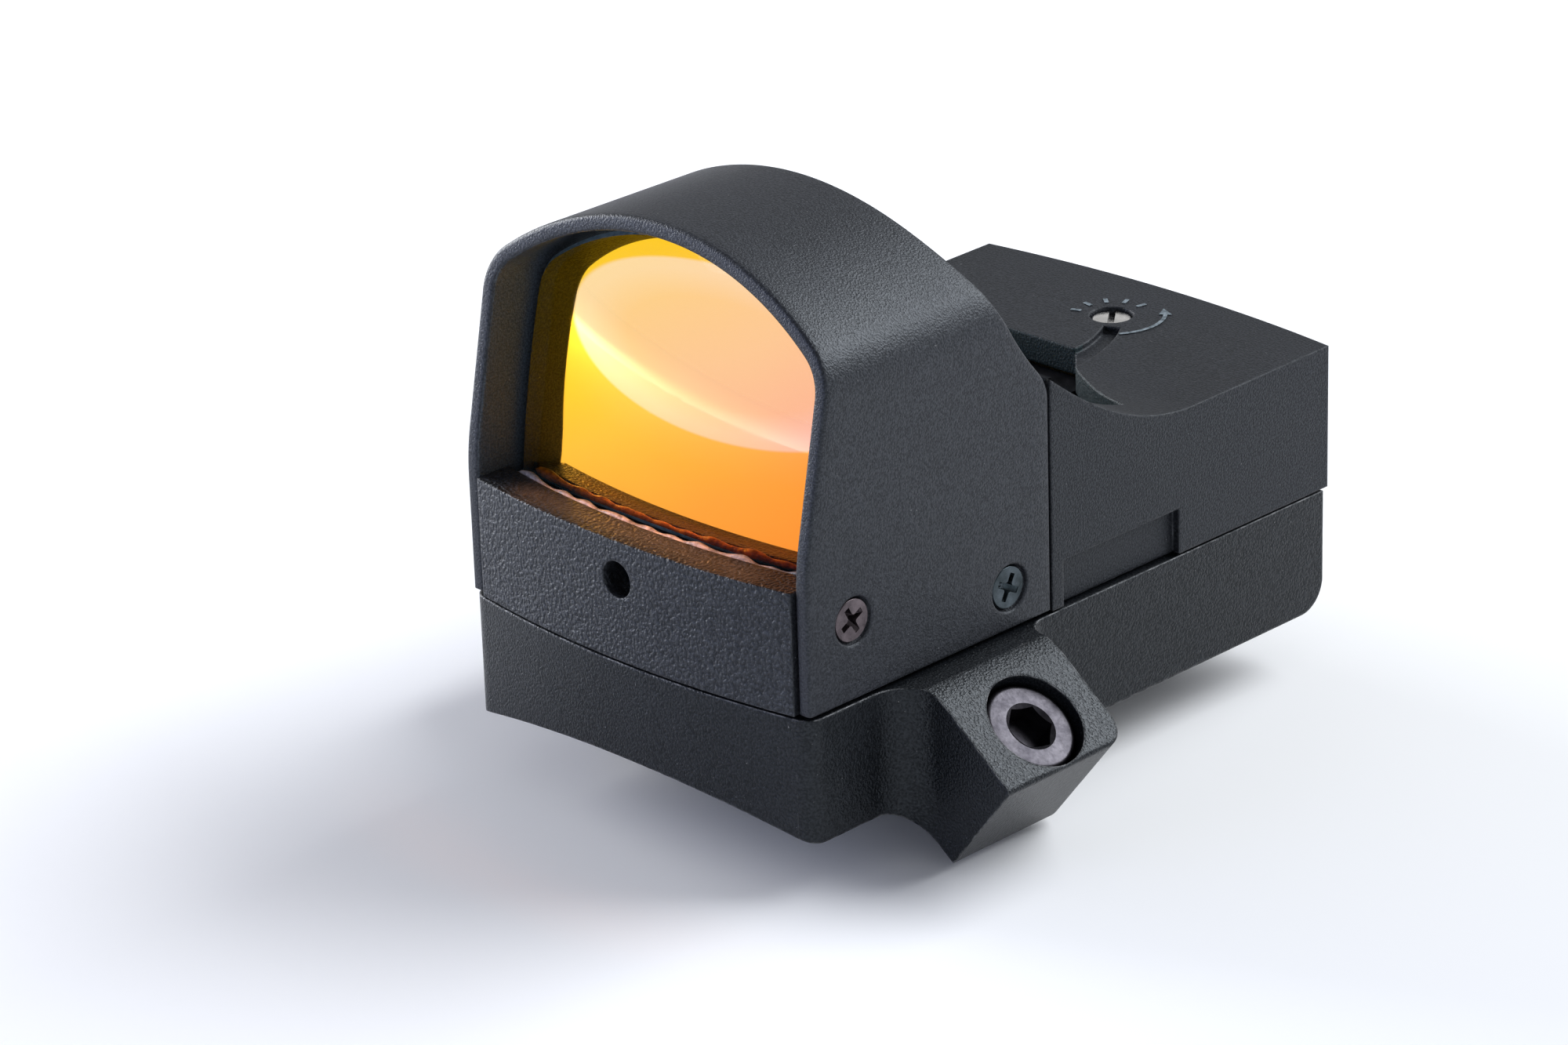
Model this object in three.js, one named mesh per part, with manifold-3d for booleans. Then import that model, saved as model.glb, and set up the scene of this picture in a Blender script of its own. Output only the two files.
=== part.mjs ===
// Open reflex red dot finder on a saddle base: hooded collimating lens, LED emitter on a two-way
// adjustable carrier, coin cell and board in a die-cast housing, and a saddle that two inclined
// socket cap screws clamp to the shoulders of an optic.
//
// Millimetres. +X right, -Y towards the target, +Z up. Every piece is laid out with z = 0 on the
// joint plane between housing and saddle and y = 0 at the housing's front corners; the exported
// group is shifted so that its origin is the crest of the saddle's seat, under the clamp screws.

import * as THREE from 'three';
import { mergeVertices } from 'three/addons/utils/BufferGeometryUtils.js';
import Module from 'manifold-3d';

const wasm = await Module();
wasm.setup();

// ---------------------------------------------------------------- driving dimensions

const bodyWidth = 27;            // across housing, hood and saddle
const halfWidth = bodyWidth / 2;
const frontBow = 1.3;            // how far the front face bulges past its corners
const rearBow = 1.0;
const rearCornerY = 43.4;        // housing's rear corners
const seamY = 19.4;              // hood ends, full-width rear block begins
const seamGap = 0.12;            // half of the gap between hood and rear block
const fit = 0.15;                // clearance between pieces that rest on each other

const hoodTop = 24.45;
const hoodWall = 0.9;
const hoodCorner = 3.4;          // outer radius of the hood's shoulders
const hoodArch = 20.6;           // outer radius of the hood's crown
const hoodBottom = 0.3;
const hoodRearY = 14.0;          // rear edge of the crown
const rakeStartZ = 8.6;          // above this the hood's front edge is raked
const rake = 0.2;                // rearwards per millimetre of height
const crownFrontY = rake * (hoodTop - rakeStartZ);

const frontWallTop = 7.2;
const floorZ = 4.3;              // top of the housing's floor and of the web over the battery
const deckZ = 8.75;              // top of the rear deck
const deckThick = 1.6;
const cheekTop = 13.95;          // rear block's side walls at the seam
const coreHalf = halfWidth - hoodWall - fit;   // housing's front part, inside the hood

const lensTilt = THREE.MathUtils.degToRad(10.9);
const lensFootY = 1.5;           // front face of the lens at the middle of its lower edge
const lensFootZ = 6.95;
const lensRadius = 62;           // outer faces of the pair
const lensInnerRadius = 250;     // coated face between the elements
const lensAxisZ = 6.2;           // optical axis above the lower edge
const lensBedZ = 5.85;
const lensPocketRear = 8.4;
const lensHalf = halfWidth - hoodWall - 0.3;
const lensHeight = 16.45;
const frontElementThick = 2.2;   // on the optical axis
const lensThick = 3.6;           // both elements
const elementGap = 0.1;

const seatCrestZ = -5.95;        // saddle's underside on the centre line
const seatEdgeZ = -7.55;         // and at its long sides
const saddleRearY = 43.0;
const earFrontY = 7.35;
const earRearY = 16.9;
const earFillet = [2.4, 1.7];    // radii where the ears meet the side walls, front and rear
const saddleCorner = 1;
const earTilt = THREE.MathUtils.degToRad(38);  // of the clamp faces below the horizontal
const earCornerX = 21.26;
const earCornerZ = -4.55;
const clampY = (earFrontY + earRearY) / 2;
const clampX = 18.78;            // clamp screw's axis where it meets the ear's upper face

const batteryY = 31.2;
const batteryRadius = 10;
const batteryHeight = 3.2;

const elevationX = 0.4;          // elevation screw
const elevationY = 39.1;
const elevationRecess = 0.1;     // of its head below the deck
const windageY = 32.2;           // windage screw, in the left wall
const windageZ = 5.75;
const adjusterHead = 1.2;         // radius of both slotted heads
const headThick = 0.5;
const headGap = 0.05;            // under the elevation screw's head
const adjusterShank = 0.85;      // pitch radius of the M2 thread

const lightPortZ = 4.9;          // brightness sensor's port in the front wall
const lightPortRadius = 1.1;
const sensorRadius = 1.25;
const contactPinY = 26.6;        // battery contact's pin through the web
const sealRadius = 11.25;        // centre line of the battery seal
const wellHalf = 11;             // half width of the emitter well

// ---------------------------------------------------------------- solids

const roundSegments = 28;
const smallSegments = 18;

function solid(geometry) {
  const bare = geometry.clone();
  bare.deleteAttribute('normal');
  bare.deleteAttribute('uv');
  const merged = mergeVertices(bare, 1e-5);
  return new wasm.Manifold(new wasm.Mesh({
    numProp: 3,
    vertProperties: new Float32Array(merged.attributes.position.array),
    triVerts: new Uint32Array(merged.index.array),
  }));
}

function geometryOf(body) {
  const mesh = body.getMesh();
  const geometry = new THREE.BufferGeometry();
  geometry.setAttribute('position', new THREE.BufferAttribute(mesh.vertProperties, 3));
  geometry.setIndex(new THREE.BufferAttribute(mesh.triVerts, 1));
  return geometry;
}

const join = (...geometries) => geometryOf(geometries.map(solid).reduce((a, b) => a.add(b)));
const common = (...geometries) => geometryOf(geometries.map(solid).reduce((a, b) => a.intersect(b)));
const cut = (base, ...tools) => geometryOf(tools.map(solid).reduce((a, b) => a.subtract(b), solid(base)));

function box([x0, x1], [y0, y1], [z0, z1]) {
  return new THREE.BoxGeometry(x1 - x0, y1 - y0, z1 - z0)
    .translate((x0 + x1) / 2, (y0 + y1) / 2, (z0 + z1) / 2);
}

// Extrusions of an outline drawn in the plane named by its two axes.
function prismX(shape, x0, x1, curveSegments = 8) {
  const axes = new THREE.Matrix4().set(0, 0, 1, x0, 1, 0, 0, 0, 0, 1, 0, 0, 0, 0, 0, 1);
  return new THREE.ExtrudeGeometry(shape, { depth: x1 - x0, bevelEnabled: false, curveSegments })
    .applyMatrix4(axes);
}

function prismY(shape, y0, y1, curveSegments = 8) {
  return new THREE.ExtrudeGeometry(shape, { depth: y1 - y0, bevelEnabled: false, curveSegments })
    .rotateX(Math.PI / 2).translate(0, y1, 0);
}

function prismZ(shape, z0, z1, curveSegments = 8) {
  return new THREE.ExtrudeGeometry(shape, { depth: z1 - z0, bevelEnabled: false, curveSegments })
    .translate(0, 0, z0);
}

function outline(points) {
  return new THREE.Shape(points.map(([u, v]) => new THREE.Vector2(u, v)));
}

// A turned piece: [radius, height] pairs about the local Z axis, closed back to the axis.
function turned(profile, segments = roundSegments) {
  const points = profile.map(([r, z]) => new THREE.Vector2(r, z));
  return new THREE.LatheGeometry(points, segments).rotateX(Math.PI / 2);
}

const rodZ = (x, y, radius, z0, z1, segments = roundSegments) =>
  turned([[0, z0], [radius, z0], [radius, z1], [0, z1]], segments).translate(x, y, 0);

const rodX = (y, z, radius, x0, x1, segments = roundSegments) =>
  turned([[0, x0], [radius, x0], [radius, x1], [0, x1]], segments)
    .rotateY(Math.PI / 2).translate(0, y, z);

const rodY = (x, z, radius, y0, y1, segments = roundSegments) =>
  turned([[0, y0], [radius, y0], [radius, y1], [0, y1]], segments)
    .rotateX(-Math.PI / 2).translate(x, 0, z);

// ---------------------------------------------------------------- scene graph

const finder = new THREE.Group();
finder.position.set(0, -clampY, -seatCrestZ);

const finish = {
  castBlack: { color: 0x1b1c1f, roughness: 0.62, metalness: 0.3 },
  hoodBlack: { color: 0x202124, roughness: 0.5, metalness: 0.35 },
  saddleBlack: { color: 0x1c1d20, roughness: 0.42, metalness: 0.4 },
  glass: { color: 0xf0a040, roughness: 0.05, metalness: 0, transparent: true, opacity: 0.5 },
  adhesive: { color: 0x8a5a3a, roughness: 0.5, metalness: 0 },
  steel: { color: 0x77727a, roughness: 0.35, metalness: 0.9 },
  brightSteel: { color: 0xb9b6b2, roughness: 0.3, metalness: 0.95 },
  brass: { color: 0xb08d4f, roughness: 0.35, metalness: 0.9 },
  board: { color: 0x0f3b2e, roughness: 0.45, metalness: 0.05 },
  rubber: { color: 0x161616, roughness: 0.9, metalness: 0 },
  blackPlastic: { color: 0x141416, roughness: 0.5, metalness: 0 },
  clearPlastic: { color: 0xd8e4ea, roughness: 0.1, metalness: 0, transparent: true, opacity: 0.6 },
};

function add(name, geometry, look, parent = finder) {
  const mesh = new THREE.Mesh(geometry, new THREE.MeshStandardMaterial(finish[look]));
  mesh.name = name;
  parent.add(mesh);
  return mesh;
}

// ---------------------------------------------------------------- shared outlines

// Upright sides, round shoulders and a shallow round crown, seen from the front.
function archShape(half, corner, arch, top, bottom) {
  const archCentreZ = top - arch;
  const cornerX = half - corner;
  const cornerZ = archCentreZ + Math.sqrt((arch - corner) ** 2 - cornerX ** 2);
  const turn = Math.atan2(cornerZ - archCentreZ, cornerX);
  const shape = new THREE.Shape();
  shape.moveTo(-half, bottom);
  shape.lineTo(half, bottom);
  shape.absarc(cornerX, cornerZ, corner, 0, turn, false);
  shape.absarc(0, archCentreZ, arch, turn, Math.PI - turn, false);
  shape.absarc(-cornerX, cornerZ, corner, Math.PI - turn, Math.PI, false);
  return shape;
}

// Arc through two corners at +-half with the given bulge, as [centre y, radius, half angle].
function bowArc(half, bulge) {
  const radius = (half ** 2 + bulge ** 2) / (2 * bulge);
  return [radius - bulge, radius, Math.asin(half / radius)];
}

// Adds the bowed front edge, from left to right, to a plan outline.
function bowedFront(shape, half) {
  const [centreY, radius] = bowArc(halfWidth, frontBow);
  const angle = Math.asin(half / radius);
  shape.absarc(0, centreY, radius, -Math.PI / 2 - angle, -Math.PI / 2 + angle, false);
}

// ---------------------------------------------------------------- hood

function hoodSideOutline() {
  const rearY = seamY - seamGap;
  const blend = 1.5;
  const [legY, legZ] = [18.2, 15];
  const shape = new THREE.Shape();
  shape.moveTo(0, hoodBottom);
  shape.lineTo(0, rakeStartZ - blend);
  shape.quadraticCurveTo(0, rakeStartZ, blend * rake, rakeStartZ + blend);
  shape.lineTo(crownFrontY, hoodTop);
  shape.lineTo(crownFrontY, hoodTop + 2);
  shape.lineTo(hoodRearY, hoodTop + 2);
  shape.lineTo(hoodRearY, hoodTop);
  shape.quadraticCurveTo(hoodRearY + 0.5, 19.6, legY, legZ);
  shape.quadraticCurveTo(rearY, 13.9, rearY, 12.9);
  shape.lineTo(rearY, hoodBottom);
  return shape;
}

const hoodScrewPlaces = [[3.55, 4.7], [15.9, 2.55]];   // [y, z] on both sides
const screwHeadRadius = 1.28;

function hoodGeometry() {
  const outer = prismY(archShape(halfWidth, hoodCorner, hoodArch, hoodTop, -1), -2, 30, 12);
  const inner = prismY(archShape(
    halfWidth - hoodWall, hoodCorner - hoodWall, hoodArch - hoodWall, hoodTop - hoodWall, -2), -3, 31, 12);
  const trimmed = common(cut(outer, inner), prismX(hoodSideOutline(), -20, 20, 8));
  const holes = hoodScrewPlaces.flatMap(([y, z]) => [-1, 1].map((side) => turned(
    [[0, 11], [1, 11], [1, 12.85], [screwHeadRadius + 0.12, 13.3], [screwHeadRadius + 0.12, 14], [0, 14]],
    smallSegments).rotateY(side * Math.PI / 2).translate(0, y, z)));
  return cut(trimmed, ...holes);
}

add('hood', hoodGeometry(), 'hoodBlack');

// Countersunk cross-recess screws that hold the hood to the housing, two on each side.
function hoodScrewGeometry() {
  const faceX = 13.35;
  const body = turned([[0, 10.6], [0.72, 10.6], [0.72, 12.75], [screwHeadRadius, 13.2],
    [screwHeadRadius, faceX], [0, faceX]], smallSegments);
  const arm = 0.8;
  const slot = 0.17;
  return cut(body,
    box([-arm, arm], [-slot, slot], [faceX - 0.4, faceX + 1]),
    box([-slot, slot], [-arm, arm], [faceX - 0.4, faceX + 1]));
}

[['front', 0], ['rear', 1]].forEach(([place, index]) => {
  const [y, z] = hoodScrewPlaces[index];
  [['left', -1], ['right', 1]].forEach(([sideName, side]) => {
    const screw = add(`hood_screw_${place}_${sideName}`, hoodScrewGeometry(), 'steel');
    screw.rotation.y = side * Math.PI / 2;
    screw.position.set(0, y, z);
  });
});

// ---------------------------------------------------------------- housing

const baseScrewPlaces = [[-9.3, 13.4], [9.3, 13.4]];
const pinPlaces = [[-9.5, 4.4], [9.5, 4.4]];
const boardScrewPlaces = [[-7.6, 21.6], [7.6, 21.6]];
const cavityTop = deckZ - deckThick;
const carrierHalf = 4.2;         // half width of the guideway for the elevation block
const guideFrontY = 34.4;
const guideRearY = 42.0;

function housingPlan() {
  const [rearCentre, rearRadius, rearAngle] = bowArc(halfWidth, rearBow);
  const centreY = rearCornerY - rearCentre;
  const shape = new THREE.Shape();
  bowedFront(shape, coreHalf);
  shape.lineTo(coreHalf, seamY + seamGap);
  shape.lineTo(halfWidth, seamY + seamGap);
  shape.absarc(0, centreY, rearRadius, Math.PI / 2 - rearAngle, Math.PI / 2 + rearAngle, false);
  shape.lineTo(-halfWidth, seamY + seamGap);
  shape.lineTo(-coreHalf, seamY + seamGap);
  return shape;
}

// Recess behind the front wall in which the curved lens stands, seen from above.
function lensPocket() {
  const half = coreHalf + 1;
  const centreY = lensFootY - 0.55 + lensRadius;
  const angle = Math.asin(half / lensRadius);
  const shape = new THREE.Shape();
  shape.absarc(0, centreY, lensRadius, -Math.PI / 2 - angle, -Math.PI / 2 + angle, false);
  shape.lineTo(half, lensPocketRear + 1);
  shape.lineTo(-half, lensPocketRear + 1);
  return shape;
}

// Side view: front wall, lens bed, floor, then the scooped top of the rear block.
function housingSide() {
  const shape = new THREE.Shape();
  shape.moveTo(-3, 0);
  shape.lineTo(-3, frontWallTop);
  shape.lineTo(lensPocketRear, frontWallTop);
  shape.lineTo(lensPocketRear, floorZ);
  shape.lineTo(seamY + seamGap, floorZ);
  shape.lineTo(seamY + seamGap, cheekTop);
  shape.bezierCurveTo(22.6, 11.4, 26.6, deckZ, 31.5, deckZ);
  shape.lineTo(46, deckZ + 0.15);
  shape.lineTo(46, 0);
  return shape;
}

// Opening of the emitter well in the deck, seen from above.
function wellShape() {
  const shape = new THREE.Shape();
  const shoulderY = 28.2;
  shape.moveTo(-wellHalf, seamY - 1);
  shape.lineTo(wellHalf, seamY - 1);
  shape.lineTo(wellHalf, shoulderY);
  shape.quadraticCurveTo(8.2, 29, 6.8, 30);
  shape.quadraticCurveTo(5.2, 30.9, 4.3, 31.6);
  shape.lineTo(2.4, 33.7);
  shape.lineTo(-6, 33.7);
  shape.quadraticCurveTo(-wellHalf, 32.6, -wellHalf, shoulderY);
  return shape;
}

// Curved relief in the deck, from the well's edge to the elevation screw.
function deckRelief() {
  const shape = new THREE.Shape();
  shape.moveTo(2.3, 33.2);
  shape.quadraticCurveTo(2.5, 35, 0.9, 37.4);
  shape.lineTo(1.9, 38);
  shape.quadraticCurveTo(4.1, 35, 4.35, 31.2);
  return shape;
}

function housingGeometry() {
  const blank = common(prismZ(housingPlan(), 0, 20, 10), prismX(housingSide(), -20, 20, 9));
  const pocketDepth = 0.5;
  const pocketY = [20.3, 30.15];
  const pocketTop = 2.8;
  const reliefDepth = 0.35;
  const grooveIn = sealRadius - 0.5;
  const grooveOut = sealRadius + 0.5;
  const grooveDepth = 0.75;
  const cutters = [
    rodZ(0, batteryY, batteryRadius + 0.3, -1, floorZ - 0.7, 40),
    turned([[grooveIn, -1], [grooveOut, -1], [grooveOut, grooveDepth], [grooveIn, grooveDepth],
      [grooveIn, -1]], 40).translate(0, batteryY, 0),
    prismZ(wellShape(), floorZ, 20, 5),
    box([-wellHalf, wellHalf], [seamY - 1, guideFrontY], [floorZ, cavityTop]),
    box([-carrierHalf, carrierHalf], [guideFrontY - 1, guideRearY], [floorZ, cavityTop]),
    prismZ(deckRelief(), deckZ - reliefDepth, deckZ + 1, 5),
    rodZ(elevationX, elevationY, adjusterHead + 0.12,
      deckZ - elevationRecess - headThick - headGap, deckZ + 1),
    rodZ(elevationX, elevationY, adjusterShank + 0.1, cavityTop - 1, deckZ),
    rodX(windageY, windageZ, adjusterHead + 0.15, -15, -12.6),
    rodX(windageY, windageZ, adjusterShank + 0.1, -13, -10),
    rodY(0, lightPortZ, lightPortRadius, -5, -0.75, smallSegments),
    rodY(0, lightPortZ, sensorRadius + 0.2, -0.8, 3.4, smallSegments),
    rodZ(0, contactPinY, 0.7, 3, 5, 14),
    prismZ(lensPocket(), lensBedZ, 10, 8),
  ];
  [-1, 1].forEach((side) => {
    const faceX = side * halfWidth;
    const inner = faceX - side * pocketDepth;
    cutters.push(box([Math.min(inner, faceX + side), Math.max(inner, faceX + side)],
      pocketY, [-1, pocketTop]));
    hoodScrewPlaces.forEach(([y, z]) => {
      const deep = side * 10.2;
      cutters.push(rodX(y, z, 0.92, Math.min(deep, side * 14), Math.max(deep, side * 14), smallSegments));
    });
  });
  baseScrewPlaces.forEach(([x, y]) => {
    cutters.push(turned([[0, -1], [1.45, -1], [1.45, 2.9], [2.5, 3.95], [2.5, 5], [0, 5]], smallSegments)
      .translate(x, y, 0));
  });
  pinPlaces.forEach(([x, y]) => cutters.push(rodZ(x, y, 1.12, -1, 2.3, smallSegments)));
  boardScrewPlaces.forEach(([x, y]) => cutters.push(rodZ(x, y, 0.65, 3.65, 5, 12)));
  return cut(blank, ...cutters);
}

add('housing', housingGeometry(), 'castBlack');

// ---------------------------------------------------------------- lens

const lensGroup = new THREE.Group();
lensGroup.position.set(0, lensFootY, lensFootZ);
lensGroup.rotation.x = -lensTilt;
finder.add(lensGroup);

// A meniscus, convex towards the target, trimmed to the arch of the hood. Each face is given as
// [depth on the axis, radius].
function lensElement(near, far) {
  const steps = 8;
  const rim = 17;
  const face = ([depth, radius]) => Array.from({ length: steps + 1 }, (_, i) => {
    const r = (rim * i) / steps;
    return [r, -(depth + radius - Math.sqrt(radius ** 2 - r ** 2))];
  });
  const cap = turned([...face(far), ...face(near).reverse()], 40)
    .rotateX(Math.PI / 2).translate(0, 0, lensAxisZ);
  const arch = archShape(lensHalf, hoodCorner - hoodWall, hoodArch - hoodWall, lensHeight, 0);
  return common(prismY(arch, -2, 9, 10), cap);
}

add('lens_front_element',
  lensElement([0, lensRadius], [frontElementThick, lensInnerRadius]), 'glass', lensGroup);
add('lens_rear_element',
  lensElement([frontElementThick + elementGap, lensInnerRadius], [lensThick, lensRadius]),
  'glass', lensGroup);

// Bead of sealant along the foot of the lens.
function sealantGeometry() {
  const half = lensHalf - 0.3;
  const sag = half ** 2 / (2 * lensRadius);
  const [centreY, radius, angle] = bowArc(half, sag);
  const band = new THREE.Shape();
  band.absarc(0, centreY, radius + 0.5, -Math.PI / 2 - angle, -Math.PI / 2 + angle, false);
  band.absarc(0, centreY, radius + 0.16, -Math.PI / 2 + angle, -Math.PI / 2 - angle, true);
  return prismZ(band, lensFootZ - 0.6, lensFootZ + 0.25, 12).translate(0, lensFootY + sag, 0);
}

add('lens_sealant', sealantGeometry(), 'adhesive');

// ---------------------------------------------------------------- saddle base

const down = [-Math.sin(earTilt), -Math.cos(earTilt)];   // into the ear, in X and Z
const clampZ = earCornerZ + (earCornerX - clampX) * Math.tan(earTilt);
const seatLineZ = (x) => seatEdgeZ - (x - halfWidth) * Math.tan(earTilt);
const faceZ = (x) => earCornerZ + (earCornerX - x) * Math.tan(earTilt);
const earThick = (faceZ(halfWidth) - seatEdgeZ) * Math.cos(earTilt);
const earFootX = earCornerX + down[0] * earThick;
const ledgeEndX = earCornerX + earCornerZ / Math.tan(earTilt);

// Front view of the saddle: flat top, inclined ears, shoulder seats and a shallow round channel.
function saddleProfile() {
  const shape = new THREE.Shape();
  const sagitta = seatCrestZ - seatEdgeZ;
  const radius = (halfWidth ** 2 + sagitta ** 2) / (2 * sagitta);
  const angle = Math.asin(halfWidth / radius);
  const round = 0.18;
  const rightSide = [
    [earFootX, seatLineZ(earFootX)],
    [earCornerX + down[0] * round, earCornerZ + down[1] * round],
    [earCornerX - Math.cos(earTilt) * round, earCornerZ + Math.sin(earTilt) * round],
  ];
  shape.absarc(0, seatCrestZ - radius, radius, Math.PI / 2 + angle, Math.PI / 2 - angle, true);
  rightSide.forEach(([x, z]) => shape.lineTo(x, z));
  const blend = 1.3;
  shape.lineTo(ledgeEndX + blend, faceZ(ledgeEndX + blend));
  shape.quadraticCurveTo(ledgeEndX, 0, ledgeEndX - blend, 0);
  shape.lineTo(-ledgeEndX + blend, 0);
  shape.quadraticCurveTo(-ledgeEndX, 0, -ledgeEndX - blend, faceZ(ledgeEndX + blend));
  rightSide.reverse().forEach(([x, z]) => shape.lineTo(-x, z));
  return shape;
}

function saddlePlan() {
  const shape = new THREE.Shape();
  const reach = 24;
  const [front, rear] = earFillet;
  bowedFront(shape, halfWidth - saddleCorner);
  shape.quadraticCurveTo(halfWidth, 0, halfWidth, saddleCorner);
  shape.absarc(halfWidth + front, earFrontY - front, front, Math.PI, Math.PI / 2, true);
  shape.lineTo(reach, earFrontY);
  shape.lineTo(reach, earRearY);
  shape.absarc(halfWidth + rear, earRearY + rear, rear, -Math.PI / 2, -Math.PI, true);
  shape.lineTo(halfWidth, saddleRearY);
  shape.lineTo(-halfWidth, saddleRearY);
  shape.absarc(-halfWidth - rear, earRearY + rear, rear, 0, -Math.PI / 2, true);
  shape.lineTo(-reach, earRearY);
  shape.lineTo(-reach, earFrontY);
  shape.absarc(-halfWidth - front, earFrontY - front, front, Math.PI / 2, 0, true);
  shape.lineTo(-halfWidth, saddleCorner);
  shape.quadraticCurveTo(-halfWidth, 0, -halfWidth + saddleCorner, -0.18);
  return shape;
}

function saddleSide() {
  const round = 1.9;
  const edgeY = 28;
  const shape = new THREE.Shape();
  shape.moveTo(-3, -14);
  shape.lineTo(edgeY, -14);
  shape.lineTo(edgeY, seatEdgeZ);
  shape.lineTo(saddleRearY - round, seatEdgeZ);
  shape.absarc(saddleRearY - round, seatEdgeZ + round, round, -Math.PI / 2, 0, false);
  shape.lineTo(saddleRearY, -fit);
  shape.lineTo(-3, -fit);
  return shape;
}

// Turned pieces about a clamp screw's axis; local z = 0 on the ear's face, +z outwards.
function onClampAxis(geometry, side) {
  return geometry.rotateY(side * earTilt).translate(side * clampX, clampY, clampZ);
}

const clampHoleRadius = 1.7;
const counterboreRadius = 2.98;
const counterboreDepth = 3.9;

function saddleGeometry() {
  const blank = common(
    prismZ(saddlePlan(), -14, 1, 6), prismY(saddleProfile(), -4, 46, 7), prismX(saddleSide(), -30, 30, 5));
  const cutters = [-1, 1].map((side) => onClampAxis(turned([[0, -16], [clampHoleRadius, -16],
    [clampHoleRadius, -counterboreDepth], [counterboreRadius, -counterboreDepth],
    [counterboreRadius, 4], [0, 4]]), side));
  baseScrewPlaces.forEach(([x, y]) => cutters.push(rodZ(x, y, 1.4, -5.3, 1, smallSegments)));
  pinPlaces.forEach(([x, y]) => cutters.push(rodZ(x, y, 1.12, -2.6, 1, smallSegments)));
  cutters.push(rodZ(0, batteryY, 8.2, -0.75, 1, 36));
  return cut(blank, ...cutters);
}

add('saddle_base', saddleGeometry(), 'saddleBlack');

// M3 socket cap screws through the ears.
function clampScrewGeometry() {
  const top = -0.55;
  const headRadius = 2.75;
  const under = top - 3;
  const body = turned([[0, under - 6], [1.15, under - 6], [1.45, under - 5.6], [1.45, under],
    [headRadius, under], [headRadius, top - 0.25], [headRadius - 0.25, top], [0, top]]);
  const socket = new THREE.CylinderGeometry(2.5 / Math.sqrt(3), 2.5 / Math.sqrt(3), 3, 6)
    .rotateX(Math.PI / 2).translate(0, 0, top);
  return cut(body, socket);
}

[['left', -1], ['right', 1]].forEach(([sideName, side]) => {
  const screw = add(`clamp_screw_${sideName}`, clampScrewGeometry(), 'steel');
  screw.rotation.y = side * earTilt;
  screw.position.set(side * clampX, clampY, clampZ);
});

// ---------------------------------------------------------------- housing to saddle

[['left', 0], ['right', 1]].forEach(([sideName, index]) => {
  const [x, y] = baseScrewPlaces[index];
  const head = turned([[0, -4.6], [1.1, -4.6], [1.1, 2.75], [2.2, 3.85], [2.2, 4.1], [0, 4.1]],
    smallSegments);
  const socket = new THREE.CylinderGeometry(0.87, 0.87, 2.4, 6).rotateX(Math.PI / 2).translate(0, 0, 4.1);
  add(`base_screw_${sideName}`, cut(head, socket), 'steel').position.set(x, y, 0);
  const [pinX, pinY] = pinPlaces[index];
  add(`locating_pin_${sideName}`, rodZ(0, 0, 1, -2.4, 2.1, smallSegments), 'brightSteel')
    .position.set(pinX, pinY, 0);
});

// ---------------------------------------------------------------- power and electronics

add('battery', turned([[0, 0], [8.6, 0], [8.6, 0.25], [10, 0.25], [10, batteryHeight - 0.2],
  [9.8, batteryHeight], [0, batteryHeight]], 40), 'brightSteel').position.set(0, batteryY, 0.2);

add('battery_pad', rodZ(0, 0, 7.9, -0.65, 0.05, 32), 'blackPlastic').position.set(0, batteryY, 0);

// Positive contact: a leaf on the cell and a pin through the web to the board.
add('battery_contact', join(box([-1.6, 1.6], [25.4, 33.6], [3.43, 3.57]),
  rodZ(0, contactPinY, 0.5, 3.45, 4.4, 14)), 'brass');

const sealSection = new THREE.Path().absarc(sealRadius, 0.28, 0.38, 0, Math.PI * 2, false).getPoints(8);
add('battery_seal', new THREE.LatheGeometry(sealSection, 40).rotateX(Math.PI / 2), 'rubber')
  .position.set(0, batteryY, 0);

const boardZ = [4.45, 5.25];

function mainBoardGeometry() {
  const shape = outline([[-9.6, 19.9], [9.6, 19.9], [9.6, 27.6], [6.4, 29.6], [-6.4, 29.6], [-9.6, 27.6]]);
  const holes = boardScrewPlaces.map(([x, y]) => rodZ(x, y, 0.75, 4, 6, 12));
  return cut(prismZ(shape, ...boardZ), ...holes);
}

add('main_board', mainBoardGeometry(), 'board');

[['left', 0], ['right', 1]].forEach(([sideName, index]) => {
  const [x, y] = boardScrewPlaces[index];
  add(`board_screw_${sideName}`, turned([[0, 3.8], [0.55, 3.8], [0.55, 5.4], [1.2, 5.4], [1.2, 5.85],
    [0, 5.85]], 14), 'steel').position.set(x, y, 0);
});

// Phototransistor behind the port in the front wall; it sets the dot's brightness.
const sensor = add('light_sensor', turned([[0, -2.4], [sensorRadius, -2.4], [sensorRadius, 0], [0.95, 0],
  [0.85, 0.35], [0.5, 0.6], [0, 0.7]], smallSegments), 'clearPlastic');
sensor.rotation.x = Math.PI / 2;
sensor.position.set(0, 0.35, lightPortZ);

// ---------------------------------------------------------------- adjusters

// Slotted head in a counterbore, held by a clip under the wall; local +z points out of the head.
function adjusterGeometry(headTop, clipZ, length) {
  const groove = 0.22;
  const core = 0.62;
  const under = headTop - headThick;
  const body = turned([[0, -length], [adjusterShank, -length], [adjusterShank, clipZ - groove],
    [core, clipZ - groove], [core, clipZ + groove], [adjusterShank, clipZ + groove],
    [adjusterShank, under], [adjusterHead, under], [adjusterHead, headTop - 0.1],
    [adjusterHead - 0.1, headTop], [0, headTop]], 24);
  return cut(body, box([-2, 2], [-0.2, 0.2], [headTop - 0.3, headTop + 1]));
}

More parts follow.
